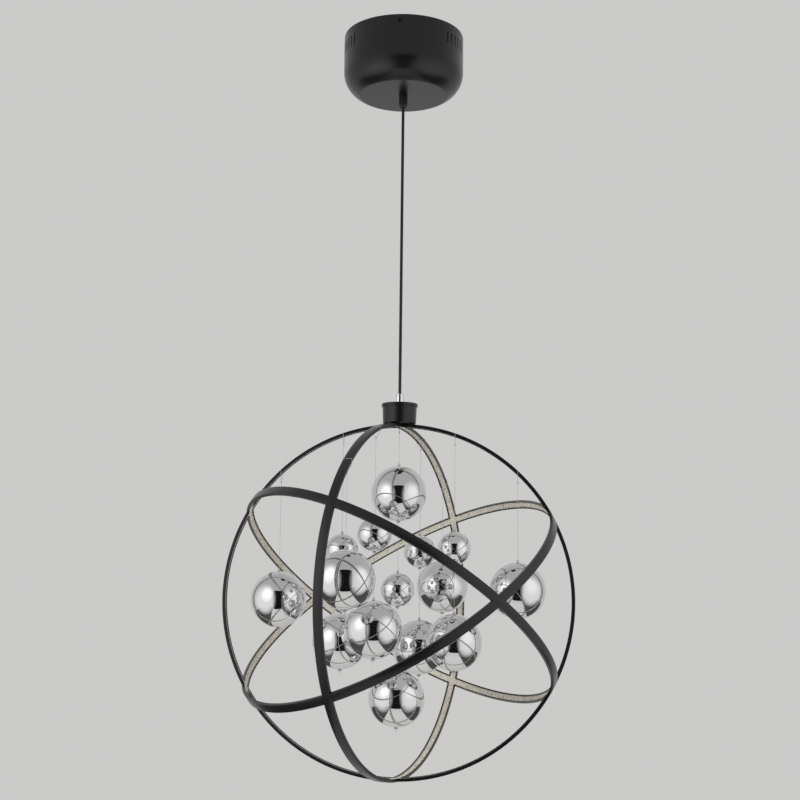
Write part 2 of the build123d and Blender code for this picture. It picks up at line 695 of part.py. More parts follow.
def build_hoops():
    """Each hoop as a rolled channel, butted to the hoops listed before it.

    Its groove runs on through their lips, so the strips meet at a crossing.
    """
    channel = band_ring(BAND_INNER_RADIUS, CAGE_RADIUS, BAND_WIDTH, BAND_BEVEL) - groove_ring()
    block = band_ring(BAND_INNER_RADIUS - CUT_PAST, CAGE_RADIUS + CUT_PAST, BAND_WIDTH)
    groove = groove_ring()
    names = list(HOOPS)
    hoops = {}
    for index, name in enumerate(names):
        hoop = HOOPS[name] * channel
        for earlier in names[:index]:
            hoop -= HOOPS[earlier] * block
        for later in names[index + 1 :]:
            hoop -= HOOPS[later] * groove
        hoops[name] = hoop
    first = names[0]
    hoops[first] -= rod(STEM_DIAMETER / 2 + PASSING, CAGE_Z, POLE_Z + CUT_PAST)
    hoops[first] -= strip_lead_slot(CAGE_Z, POLE_Z + CUT_PAST)
    return {name: as_node(hoop) for name, hoop in hoops.items()}


def cover_ring():
    """Clear cover on the strip: flat sides and a crowned inner face."""
    half = STRIP_WIDTH / 2
    side = STRIP_INNER_RADIUS - SEAT / 2
    edge = side - COVER_THICKNESS + COVER_CROWN
    crown = side - COVER_THICKNESS
    with BuildSketch(Plane.XZ) as section:
        with BuildLine():
            Polyline((edge, half), (side, half), (side, -half), (edge, -half))
            ThreePointArc((edge, -half), (crown, 0), (edge, half))
        make_face()
    return revolve(section.sketch, Axis.Z)


def build_strips(ring, reach):
    """Four rings cut where they meet, and round the stem at the top."""
    block_width = STRIP_WIDTH + 2 * SEAT
    block = band_ring(BAND_INNER_RADIUS - CUT_PAST, reach + CUT_PAST, block_width)
    names = list(HOOPS)
    strips = []
    for index, name in enumerate(names):
        strip = HOOPS[name] * ring
        for earlier in names[:index]:
            strip -= HOOPS[earlier] * block
        strips.append(as_node(strip - rod(POLE_GAP_RADIUS, CAGE_Z, POLE_Z)))
    return strips


# ----------------------------------------------------------- balls on lines
def line_azimuth(name):
    """Direction in which a line stands off the cage's axis, in degrees.

    The middle line has none: its angle sets its loop across the stem's pin.
    """
    return {
        "left": 180.0,
        "right": 0.0,
        "front": UPRIGHT_ANGLE,
        "back": UPRIGHT_ANGLE + 180.0,
        "centre": 90.0,
    }[name.split("_")[0]]


def string_place(name):
    """Place of a line: its local X is square to its hoop."""
    reach = {"near": NEAR_REACH, "far": FAR_REACH}.get(name.split("_")[-1], 0.0)
    return Pos(0, 0, CAGE_Z) * Rot(0, 0, line_azimuth(name) - 90) * Pos(0, reach, 0)


def loop_heights(name):
    """Top, corner and knot heights of a line's loop, over the cage middle."""
    line = LINE_DIAMETER / 2
    if name == "centre":
        top = PIN_Z - CAGE_Z + STEM_PIN_DIAMETER / 2 + line + SEAT
        corner = STEM_BOTTOM_Z - CAGE_Z
        return top, corner, corner - LOOP_TAPER
    reach = NEAR_REACH if name.endswith("near") else FAR_REACH
    outside = math.sqrt(CAGE_RADIUS**2 - reach**2)
    inside = math.sqrt(BAND_INNER_RADIUS**2 - reach**2)
    top = outside + (line + SEAT) * CAGE_RADIUS / outside
    corner = inside - LOOP_DROP
    return top, corner, corner - LOOP_TAPER


def line_with_loop(name, bottom):
    """Clear line: a loop round its band, a knot, and one straight fall.

    The loop's two ends and the fall stay apart inside the knot.
    """
    line = LINE_DIAMETER / 2
    top, corner, knot = loop_heights(name)
    if name == "centre":
        half = STEM_PIN_DIAMETER / 2 + line + SEAT
    else:
        half = BAND_WIDTH / 2 + LOOP_SIDE_GAP + line
    end_z = knot - KNOT_LENGTH / 4
    start = (KNOT_DIAMETER / 4, 0, end_z)
    end = (-KNOT_DIAMETER / 4, 0, end_z)
    route = [start, (half, 0, corner), (half, 0, top), (-half, 0, top), (-half, 0, corner), end]
    path = FilletPolyline(*route, radius=LOOP_BEND_SHARE * line)
    loop = sweep(Plane(origin=start, z_dir=path % 0) * Circle(line), path)
    fall = rod(line, bottom, knot - KNOT_LENGTH / 2)
    knot_shape = Pos(0, 0, knot - KNOT_LENGTH / 2) * Cylinder(KNOT_DIAMETER / 2, KNOT_LENGTH)
    knot_shape = fillet(knot_shape.edges().filter_by(GeomType.CIRCLE), KNOT_DIAMETER / 4)
    return (loop + fall + knot_shape).solid()


def ball_radius(size):
    """Outer radius of a large or a small ball."""
    return (LARGE_BALL_DIAMETER if size == LARGE else SMALL_BALL_DIAMETER) / 2


def ball(size, height):
    """Hollow glass ball, drilled top and bottom for its line."""
    radius = ball_radius(size)
    shell = Sphere(radius) - Sphere(radius - GLASS_WALL)
    shell -= rod(BALL_HOLE_DIAMETER / 2, -radius - CUT_PAST, radius + CUT_PAST)
    return Pos(0, 0, height) * shell.solid()


def cap_and_stopper(size, height):
    """Clear cap on top of a ball, and the stopper that carries it."""
    radius = ball_radius(size)
    neck = BALL_HOLE_DIAMETER / 2 - PASSING
    bore = LINE_DIAMETER / 2 + THREAD
    cap = turned(
        [
            (bore, radius - NECK_LENGTH),
            (neck, radius - NECK_LENGTH),
            (neck, radius + SEAT),
            (CAP_DIAMETER / 2, radius + SEAT),
            (CAP_DIAMETER / 2, radius + SEAT + CAP_FLANGE),
            (CAP_NIPPLE_DIAMETER / 2, radius + SEAT + CAP_FLANGE + CAP_FLANGE / 2),
            (CAP_NIPPLE_DIAMETER / 2, radius + CAP_NIPPLE_HEIGHT),
            (bore, radius + CAP_NIPPLE_HEIGHT + CAP_FLANGE / 2),
        ]
    )
    stopper = turned(
        [
            (bore, -radius + NECK_LENGTH),
            (neck, -radius + NECK_LENGTH),
            (neck, -radius - SEAT),
            (STOPPER_DIAMETER / 2, -radius - SEAT),
            (STOPPER_DIAMETER / 2, -radius - STOPPER_HEIGHT / 2),
            (STOPPER_DIAMETER / 4, -radius - STOPPER_HEIGHT),
            (bore, -radius - STOPPER_HEIGHT),
        ]
    )
    return [Pos(0, 0, height) * cap, Pos(0, 0, height) * stopper]


def build_strings():
    """Every line with its knot, caps and stoppers, and every ball."""
    nodes = {}
    for name, row in STRINGS.items():
        place = string_place(name)
        last_size, last_height = row[-1]
        bottom = last_height - ball_radius(last_size) - STOPPER_HEIGHT - LINE_TAIL
        pieces = [line_with_loop(name, bottom)]
        labels = {1: ["ball"], 2: ["upper_ball", "lower_ball"]}
        for label, (size, height) in zip(
            labels.get(len(row), ["top_ball", "middle_ball", "bottom_ball"]), row
        ):
            pieces += cap_and_stopper(size, height)
            nodes[f"{name}_{label}"] = place * ball(size, height)
        nodes[f"{name}_line"] = Compound(children=[(place * piece).solid() for piece in pieces])
    return nodes


def build_nodes():
    """Every named piece of the chandelier."""
    nodes = {
        "canopy_shell": canopy_shell(),
        "ceiling_bracket": ceiling_bracket(),
        "canopy_side_screws": canopy_side_screws(),
        "led_driver": led_driver(),
        "driver_screws": driver_screws(),
        "terminal_block": terminal_block(),
        "terminal_screws": terminal_screws(),
        "mains_leads": mains_leads(),
        "inner_lead": inner_lead(),
        "cord_grip_body": cord_grip_body(),
        "cord_grip_nut": cord_grip_nut(),
        "cord": cord(),
        "cord_gland": cord_gland(),
        "hub_lid": hub_lid(),
        "hub_cup": hub_cup(),
        "hub_stem": hub_stem(),
        "hub_pin": hub_pin(),
        "hub_nuts": hub_nuts(),
        "hub_washer": hub_washer(),
        "hub_splice": hub_splice(),
        "hub_lead": hub_lead(),
        "strip_leads": strip_leads(),
    }
    nodes.update(build_hoops())
    tape = band_ring(STRIP_INNER_RADIUS, STRIP_OUTER_RADIUS, STRIP_WIDTH)
    letters = [name[-1] for name in HOOPS]
    for letter, strip in zip(letters, build_strips(tape, STRIP_OUTER_RADIUS)):
        nodes[f"led_strip_{letter}"] = strip
    for letter, cover in zip(letters, build_strips(cover_ring(), STRIP_INNER_RADIUS)):
        nodes[f"strip_cover_{letter}"] = cover
    nodes.update(build_strings())
    return nodes


os.makedirs("parts", exist_ok=True)
for node_name, node_shape in build_nodes().items():
    export_step(node_shape, f"parts/{node_name}.step")
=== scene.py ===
"""The looks of an orb chandelier, built round its packed construction.

A drum canopy, one cord, a hub, a cage of four hoops with light strips in their
inner faces, and mirrored glass balls on clear lines. Sizes in the lamp's classes
are in millimetres, those in the studio's in metres.
"""

import logging
import math
from contextlib import contextmanager
from dataclasses import dataclass
from enum import Enum
from typing import Callable, Iterator, Sequence

import bpy
from bpy.types import Material, MeshPolygon, MeshVertex, Node, NodeSocket, NodeTree, Object
from mathutils import Matrix, Vector


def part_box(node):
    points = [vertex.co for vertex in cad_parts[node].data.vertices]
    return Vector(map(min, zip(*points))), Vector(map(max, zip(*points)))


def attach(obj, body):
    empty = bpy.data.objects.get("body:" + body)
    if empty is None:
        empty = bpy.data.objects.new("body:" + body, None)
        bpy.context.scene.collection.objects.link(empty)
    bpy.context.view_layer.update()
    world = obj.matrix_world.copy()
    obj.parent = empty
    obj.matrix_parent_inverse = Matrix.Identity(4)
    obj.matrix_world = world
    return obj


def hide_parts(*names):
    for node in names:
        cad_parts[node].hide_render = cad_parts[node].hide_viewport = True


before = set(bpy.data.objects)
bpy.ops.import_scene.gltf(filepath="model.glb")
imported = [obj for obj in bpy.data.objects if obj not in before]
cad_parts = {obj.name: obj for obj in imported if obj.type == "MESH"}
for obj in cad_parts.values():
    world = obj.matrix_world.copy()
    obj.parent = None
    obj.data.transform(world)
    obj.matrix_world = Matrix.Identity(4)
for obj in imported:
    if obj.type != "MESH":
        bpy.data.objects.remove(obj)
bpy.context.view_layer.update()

Point = tuple[float, float]
Triple = tuple[float, float, float]
Inputs = dict[str | int, object]
FaceTest = Callable[[MeshPolygon], bool]
Operator = Callable[..., set[str]]

MM = 0.001
WELD_DISTANCE = 1e-6
SMOOTH_ANGLE = math.radians(32)
SQUARE_ON = 0.9                      # least cosine of a face that looks along an axis
QUARTER = math.pi / 2

log = logging.getLogger("chandelier")


# ------------------------------------------------------------------- bench
def clear_selection() -> None:
    """Leaves edit mode and deselects everything."""
    if bpy.context.mode != "OBJECT":
        bpy.ops.object.mode_set(mode="OBJECT")
    bpy.ops.object.select_all(action="DESELECT")


def activate(piece: Object) -> None:
    """Makes one piece the only selected one.

    Args:
        piece: any object of the scene.
    """
    clear_selection()
    piece.select_set(True)
    bpy.context.view_layer.objects.active = piece


@contextmanager
def editing(piece: Object, everything: bool = True) -> Iterator[None]:
    """Edit mode on one piece, left again at the end.

    Args:
        piece: the mesh.
        everything: whether all of it is selected, or what was picked before.
    """
    activate(piece)
    bpy.ops.object.mode_set(mode="EDIT")
    if everything:
        bpy.ops.mesh.select_all(action="SELECT")
    try:
        yield
    finally:
        bpy.ops.object.mode_set(mode="OBJECT")


def settle(piece: Object) -> None:
    """Moves a piece's place, turn and scale into its mesh."""
    activate(piece)
    bpy.ops.object.transform_apply(location=True, rotation=True, scale=True)


def place(piece: Object, matrix: Matrix) -> Object:
    """Puts a piece where a matrix says, in its mesh.

    Args:
        piece: the mesh.
        matrix: from where it is to where it goes.

    Returns:
        The same piece.
    """
    piece.matrix_world = matrix @ piece.matrix_world
    settle(piece)
    return piece


def copy_of(piece: Object, name: str, matrix: Matrix) -> Object:
    """Copies a piece with a mesh of its own.

    Args:
        piece: the pattern.
        name: the copy's name.
        matrix: from the pattern's place to the copy's.

    Returns:
        The copy.
    """
    twin = bpy.data.objects.new(name, piece.data.copy())
    bpy.context.collection.objects.link(twin)
    return place(twin, matrix)


def discard(piece: Object) -> None:
    """Deletes a piece that was only a pattern or a cutter."""
    bpy.data.objects.remove(piece, do_unlink=True)


def join(pieces: Sequence[Object], name: str) -> Object:
    """Makes several meshes one piece.

    Args:
        pieces: at least two meshes.
        name: the piece's name.

    Returns:
        The piece.
    """
    activate(pieces[0])
    for piece in pieces:
        piece.select_set(True)
    bpy.ops.object.join()
    pieces[0].name = name
    return pieces[0]


def use_modifier(piece: Object, kind: str, **settings: object) -> None:
    """Adds a modifier and applies it.

    Args:
        piece: the mesh.
        kind: the modifier's type.
        **settings: its properties.
    """
    activate(piece)
    modifier = piece.modifiers.new(kind.lower(), kind)
    for key, value in settings.items():
        setattr(modifier, key, value)
    bpy.ops.object.modifier_apply(modifier=modifier.name)


def cut(piece: Object, cutter: Object) -> None:
    """Takes a cutter's shape out of a piece, and deletes the cutter."""
    use_modifier(piece, "BOOLEAN", object=cutter, operation="DIFFERENCE", solver="EXACT")
    discard(cutter)


def smooth(piece: Object) -> Object:
    """Shades a piece smooth, with its sharp edges kept.

    Args:
        piece: the mesh.

    Returns:
        The same piece.
    """
    activate(piece)
    bpy.ops.object.shade_smooth_by_angle(angle=SMOOTH_ANGLE)
    return piece


def primitive(add: Operator, name: str, scale: Triple = (1, 1, 1), **settings: object) -> Object:
    """Adds a primitive, with its place, turn and scale in its mesh.

    Args:
        add: its operator.
        name: the new piece's name.
        scale: along each of its axes, before its turn.
        **settings: the operator's.

    Returns:
        The new mesh.
    """
    clear_selection()
    add(**settings)
    piece = bpy.context.active_object
    piece.name = name
    piece.scale = scale
    settle(piece)
    return piece


def pick(piece: Object, kind: str, test: Callable[[MeshPolygon | MeshVertex], bool]) -> None:
    """Selects only those faces or vertices of a mesh that pass a test.

    Args:
        piece: the mesh.
        kind: FACE or VERT.
        test: given one face or vertex.
    """
    with editing(piece):
        bpy.ops.mesh.select_mode(type=kind)
        bpy.ops.mesh.select_all(action="DESELECT")
    for part in piece.data.polygons if kind == "FACE" else piece.data.vertices:
        part.select = test(part)


def delete_faces(piece: Object, test: FaceTest) -> None:
    """Deletes the faces that pass a test.

    Args:
        piece: the mesh.
        test: given one face.
    """
    pick(piece, "FACE", test)
    with editing(piece, everything=False):
        bpy.ops.mesh.delete(type="FACE")


def arc(centre: Point, radius: float, start: float, end: float, count: int) -> list[Point]:
    """Points along an arc.

    Args:
        centre: its middle.
        radius: its radius.
        start: first angle, in degrees from the radius axis.
        end: last angle.
        count: how many points.

    Returns:
        The points, both ends with them.
    """
    angles = [math.radians(start + (end - start) * part / (count - 1)) for part in range(count)]
    return [
        (centre[0] + radius * math.cos(angle), centre[1] + radius * math.sin(angle))
        for angle in angles
    ]


def groove(radius: float, middle: float, depth: float, mouth: float, floor: float) -> list[Point]:
    """A groove round a turned barrel, from its lower edge up.

    Args:
        radius: the barrel's.
        middle: height of the groove's middle.
        depth: how far it goes in.
        mouth: its height at the barrel.
        floor: its height at its floor.

    Returns:
        Radius and height of its four corners.
    """
    inner = radius - depth
    return [
        (radius, middle - mouth / 2),
        (inner, middle - floor / 2),
        (inner, middle + floor / 2),
        (radius, middle + mouth / 2),
    ]


def draw_profile(name: str, points: Sequence[Point], closed: bool) -> Object:
    """Draws a line of vertices in the XZ plane by extruding one vertex.

    Args:
        name: the new piece's name.
        points: radius and height of each vertex, in millimetres.
        closed: whether the last vertex is joined to the first.

    Returns:
        The profile, as a mesh of edges.
    """
    clear_selection()
    radius, height = points[0]
    bpy.ops.mesh.primitive_plane_add(size=MM, location=(radius * MM, 0, height * MM))
    profile = bpy.context.active_object
    profile.name = name
    with editing(profile):
        bpy.ops.mesh.select_mode(type="VERT")
        bpy.ops.mesh.merge(type="CENTER")
        for before, after in zip(points, points[1:]):
            step = ((after[0] - before[0]) * MM, 0, (after[1] - before[1]) * MM)
            bpy.ops.mesh.extrude_vertices_move(TRANSFORM_OT_translate={"value": step})
        bpy.ops.mesh.select_all(action="DESELECT")
    if closed:
        vertices = profile.data.vertices
        vertices[0].select = vertices[-1].select = True
        with editing(profile, everything=False):
            bpy.ops.mesh.edge_face_add()
    settle(profile)
    return profile


def lathe(name: str, points: Sequence[Point], steps: int, closed: bool = True) -> Object:
    """Turns a profile about Z.

    Args:
        name: the new piece's name.
        points: radius and height of each vertex, in millimetres.
        steps: facets round the axis.
        closed: whether the profile is a loop, as for a ring or a shell.

    Returns:
        The turned mesh, smooth shaded, with its faces outwards.
    """
    piece = draw_profile(name, points, closed)
    with editing(piece):
        bpy.ops.mesh.spin(steps=steps, angle=math.tau, center=(0, 0, 0), axis=(0, 0, 1))
        bpy.ops.mesh.select_all(action="SELECT")
        bpy.ops.mesh.remove_doubles(threshold=WELD_DISTANCE)
        bpy.ops.mesh.normals_make_consistent(inside=False)
    return smooth(piece)


@dataclass(frozen=True)
class RoundLine:
    """How a cord or line is drawn: its radius, bevel resolution and steps a point."""

    radius: float
    sides: int
    steps: int
    order: int = 3

    def draw(
        self, name: str, points: Sequence[Triple], shares: Sequence[float] | None = None
    ) -> Object:
        """Draws a smooth round curve.

        Args:
            name: the curve's name.
            points: control points, in millimetres.
            shares: of the full radius at each point, if it isn't full all along.

        Returns:
            The curve.
        """
        data = bpy.data.curves.new(name, "CURVE")
        data.dimensions = "3D"
        data.bevel_depth = self.radius * MM
        data.bevel_resolution = self.sides
        data.resolution_u = self.steps
        data.use_fill_caps = True
        spline = data.splines.new("NURBS")
        spline.points.add(len(points) - 1)
        for knot, point, share in zip(spline.points, points, shares or [1.0] * len(points)):
            knot.co = (*(Vector(point) * MM), 1)
            knot.radius = share
        spline.order_u = self.order
        spline.use_endpoint_u = True
        line = bpy.data.objects.new(name, data)
        bpy.context.collection.objects.link(line)
        return line


# ---------------------------------------------------------------- materials
NOISE_LOW, NOISE_HIGH = 0.3, 0.7     # the range that most noise falls in
NOISE_DETAIL = 3.0
GLOSS_PATCH_RATIO = 2.7              # gloss patches to colour patches


class Nodes:
    """A node tree, with the steps that are used in it."""

    def __init__(self, tree: NodeTree) -> None:
        """Takes the tree."""
        self.tree = tree

    def fill(self, node: Node, inputs: Inputs) -> None:
        """Gives a node's inputs their values.

        Args:
            node: a node of the tree.
            inputs: a constant or another node's socket, by the input's name or number.
        """
        for key, value in inputs.items():
            if isinstance(value, NodeSocket):
                self.tree.links.new(value, node.inputs[key])
            else:
                node.inputs[key].default_value = value

    def node(self, kind: str, inputs: Inputs | None = None, **settings: object) -> Node:
        """Adds a node.

        Args:
            kind: the end of its type's name.
            inputs: as for fill.
            **settings: its properties.

        Returns:
            The node.
        """
        made = self.tree.nodes.new(f"ShaderNode{kind}")
        for key, value in settings.items():
            setattr(made, key, value)
        self.fill(made, inputs or {})
        return made

    def step(self, value: NodeSocket, start: float, end: float) -> NodeSocket:
        """Zero up to the start, one from the end on, and smooth between."""
        limits = {"Value": value, "From Min": start, "From Max": end}
        return self.node("MapRange", limits, interpolation_type="SMOOTHSTEP").outputs["Result"]

    def blend(self, amount: NodeSocket, first: Triple, second: Triple) -> NodeSocket:
        """A colour between two, by an amount from 0 to 1."""
        ends = {"A": (*first, 1), "B": (*second, 1), "Factor": amount}
        return self.node("Mix", ends, data_type="RGBA").outputs["Result"]


class Shader(Nodes):
    """A material with a Principled shader."""

    def __init__(self, name: str) -> None:
        """Starts the material.

        Args:
            name: its name.
        """
        self.material = bpy.data.materials.new(name)
        self.material.use_nodes = True
        super().__init__(self.material.node_tree)
        self.principled = self.tree.nodes["Principled BSDF"]
        self.place = self.node("TexCoord").outputs["Object"]

    def set(self, **values: object) -> None:
        """Fills Principled inputs, with underscores for the spaces in their names."""
        self.fill(self.principled, {key.replace("_", " "): values[key] for key in values})

    def noise(self, scale: float, stretch: Triple | None = None) -> NodeSocket:
        """Noise, from 0 to 1.

        Args:
            scale: features a metre.
            stretch: how much finer it is along each axis.

        Returns:
            Its value.
        """
        spot = self.place
        if stretch:
            spot = self.node("Mapping", {"Vector": spot, "Scale": stretch}).outputs["Vector"]
        texture = self.node("TexNoise", {"Scale": scale, "Detail": NOISE_DETAIL, "Vector": spot})
        return texture.outputs["Fac"]

    def spread(self, noise: NodeSocket, low: float, high: float) -> NodeSocket:
        """Noise brought to a range of values."""
        limits = {"From Min": NOISE_LOW, "From Max": NOISE_HIGH, "To Min": low, "To Max": high}
        return self.node("MapRange", {"Value": noise, **limits}).outputs["Result"]

    def gloss(self, noise: NodeSocket, roughness: float, spread: float) -> NodeSocket:
        """Roughness that wanders by a spread each way."""
        return self.spread(noise, roughness - spread, roughness + spread)

    def relief(self, height: NodeSocket, depth: float) -> NodeSocket:
        """Normals of a relief so many millimetres deep."""
        bump = self.node("Bump", {"Height": height, "Strength": 1.0, "Distance": depth * MM})
        return bump.outputs["Normal"]

    def show(self, amount: NodeSocket, surface: NodeSocket) -> None:
        """Shows a surface by an amount from 0 to 1, and clear air for the rest.

        Args:
            amount: how much of it is seen.
            surface: the shader.
        """
        clear = self.node("BsdfTransparent").outputs[0]
        mix = self.node("MixShader", {0: amount, 1: clear, 2: surface})
        self.fill(self.tree.nodes["Material Output"], {"Surface": mix.outputs[0]})


@dataclass(frozen=True)
class Finish:
    """A surface: two close colours, an uneven gloss and a fine relief."""

    name: str
    color: Triple
    second_color: Triple
    patches: float = 25.0            # colour patches a metre
    roughness: float = 0.4
    roughness_spread: float = 0.05
    metallic: float = 0.0
    specular: float = 0.5
    coat: float = 0.0
    coat_roughness: float = 0.1
    alpha: float = 1.0
    ior: float = 1.5
    grain: float = 900.0             # relief features a metre
    grain_depth: float = 0.01        # millimetres
    grain_stretch: Triple = (1.0, 1.0, 1.0)

    def material(self) -> Material:
        """Builds the finish.

        Returns:
            Its material.
        """
        shader = Shader(self.name)
        patches = shader.spread(shader.noise(self.patches), 0, 1)
        gloss = shader.noise(self.patches * GLOSS_PATCH_RATIO)
        grain = shader.noise(self.grain, self.grain_stretch)
        shader.set(
            Base_Color=shader.blend(patches, self.color, self.second_color),
            Roughness=shader.gloss(gloss, self.roughness, self.roughness_spread),
            Normal=shader.relief(grain, self.grain_depth),
            Metallic=self.metallic,
            Specular_IOR_Level=self.specular,
            Coat_Weight=self.coat,
            Coat_Roughness=self.coat_roughness,
            Alpha=self.alpha,
            IOR=self.ior,
        )
        return shader.material


@dataclass(frozen=True)
class TwoWires:
    """Insulation in one colour on one side of a plane and another beyond it."""

    name: str
    first: Triple
    second: Triple
    axis: int                        # 0 for X, 1 for Y
    roughness: float = 0.38
    roughness_spread: float = 0.06
    patches: float = 200.0
    grain: float = 1500.0
    grain_depth: float = 0.01

    def material(self) -> Material:
        """Builds the finish.

        Returns:
            Its material.
        """
        shader = Shader(self.name)
        way = shader.node("SeparateXYZ", {"Vector": shader.place}).outputs[self.axis]
        side = shader.node("Math", {0: way, 1: 0.0}, operation="GREATER_THAN").outputs[0]
        gloss = shader.noise(self.patches)
        shader.set(
            Base_Color=shader.blend(side, self.first, self.second),
            Roughness=shader.gloss(gloss, self.roughness, self.roughness_spread),
            Normal=shader.relief(shader.noise(self.grain), self.grain_depth),
        )
        return shader.material


class Finishes(Enum):
    """Every finish on the lamp."""

    BLACK_PAINT = Finish(
        "satin_black_paint", (0.0035, 0.0035, 0.0038), (0.0052, 0.0052, 0.0056), patches=14,
        roughness=0.27, roughness_spread=0.02, specular=0.42, grain=1100, grain_depth=0.006,
    )
    BAND_PAINT = Finish(
        "satin_black_band", (0.005, 0.005, 0.0053), (0.0075, 0.0075, 0.008), patches=18,
        roughness=0.27, roughness_spread=0.03, specular=0.36, grain=1300, grain_depth=0.006,
    )
    BLACK_PLASTIC = Finish(
        "black_nylon", (0.008, 0.008, 0.009), (0.012, 0.012, 0.013), patches=60,
        roughness=0.46, specular=0.35, grain=2200, grain_depth=0.02,
    )
    CORD_SHEATH = Finish(
        "cord_sheath", (0.008, 0.008, 0.009), (0.012, 0.012, 0.013), patches=40,
        roughness=0.42, specular=0.35, grain=1500, grain_depth=0.015, grain_stretch=(1, 1, 0.15),
    )
    CHROME = Finish(
        "polished_chrome", (0.78, 0.79, 0.80), (0.72, 0.73, 0.75), patches=50,
        roughness=0.07, roughness_spread=0.02, metallic=1, grain=500, grain_depth=0.001,
    )
    MIRROR = Finish(
        "mirrored_glass", (0.72, 0.725, 0.735), (0.69, 0.695, 0.705), patches=9,
        roughness=0.018, roughness_spread=0.006, metallic=1, coat=0.5, coat_roughness=0.01,
        grain=11, grain_depth=0.05,
    )
    ZINC = Finish(
        "zinc_plate", (0.52, 0.53, 0.54), (0.40, 0.42, 0.45), patches=120,
        roughness=0.32, roughness_spread=0.1, metallic=1, grain_stretch=(4, 0.3, 4),
    )
    BLACK_STEEL = Finish(
        "blackened_steel", (0.004, 0.004, 0.004), (0.008, 0.008, 0.008), patches=200,
        specular=0.15, grain=1200,
    )
    BRASS = Finish(
        "plain_brass", (0.62, 0.43, 0.18), (0.50, 0.34, 0.14), patches=200,
        roughness=0.28, roughness_spread=0.08, metallic=1, grain=1500, grain_depth=0.008,
    )
    WHITE_PLASTIC = Finish(
        "white_plastic", (0.74, 0.74, 0.72), (0.68, 0.68, 0.655), patches=30,
        roughness=0.44, grain=1600, grain_depth=0.015,
    )
    TAPE = Finish(
        "light_tape", (0.88, 0.83, 0.70), (0.84, 0.79, 0.66), patches=60,
        roughness_spread=0.08, grain=700, grain_depth=0.02,
    )
    CHIP_FRAME = Finish(
        "chip_frame", (0.88, 0.85, 0.77), (0.82, 0.79, 0.71), patches=150,
        roughness=0.35, grain=2000, grain_depth=0.005,
    )
    PHOSPHOR = Finish(
        "phosphor", (0.84, 0.70, 0.38), (0.78, 0.64, 0.32), patches=400,
        roughness=0.3, grain=3000,
    )
    RESISTOR = Finish(
        "chip_resistor", (0.012, 0.012, 0.012), (0.03, 0.028, 0.026), patches=500,
        roughness=0.35, grain=3000, grain_depth=0.005,
    )
    SILICONE = Finish(
        "clear_silicone", (0.93, 0.90, 0.84), (0.88, 0.85, 0.79), patches=30,
        roughness=0.28, alpha=0.3, ior=1.41, grain=160,
    )
    NYLON = Finish(
        "clear_nylon", (0.46, 0.47, 0.48), (0.40, 0.41, 0.42), patches=100,
        roughness=0.22, specular=0.4, alpha=0.55, ior=1.53, grain=800, grain_depth=0.004,
    )
    MAINS_WIRES = TwoWires("mains_wires", (0.05, 0.14, 0.42), (0.16, 0.055, 0.02), axis=0)
    STRIP_WIRES = TwoWires("strip_wires", (0.012, 0.012, 0.012), (0.42, 0.02, 0.015), axis=1)


class Palette:
    """Makes each finish once and hands it out."""

    def __init__(self) -> None:
        """Starts with no material made."""
        self.made: dict[Finishes, Material] = {}

    def coat(self, piece: Object, finish: Finishes) -> None:
        """Gives a piece one finish all over.

        Args:
            piece: any mesh or curve.
            finish: which finish.
        """
        if finish not in self.made:
            self.made[finish] = finish.value.material()
        piece.data.materials.clear()
        piece.data.materials.append(self.made[finish])


PALETTE = Palette()


@dataclass(frozen=True)
class Dressing:
    """How a finished piece joins the lamp."""

    finish: Finishes
    body: str
    slot: str

    def put_on(self, piece: Object, *nodes: str) -> None:
        """Coats a piece, lets it ride and hides the nodes that it stands for.

        Args:
            piece: the finished mesh or curve.
            *nodes: construction nodes that it hides.
        """
        PALETTE.coat(piece, self.finish)
        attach(piece, self.body)
        if nodes:
            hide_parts(*nodes)
        log.info("%s rides on %s", piece.name, self.body)


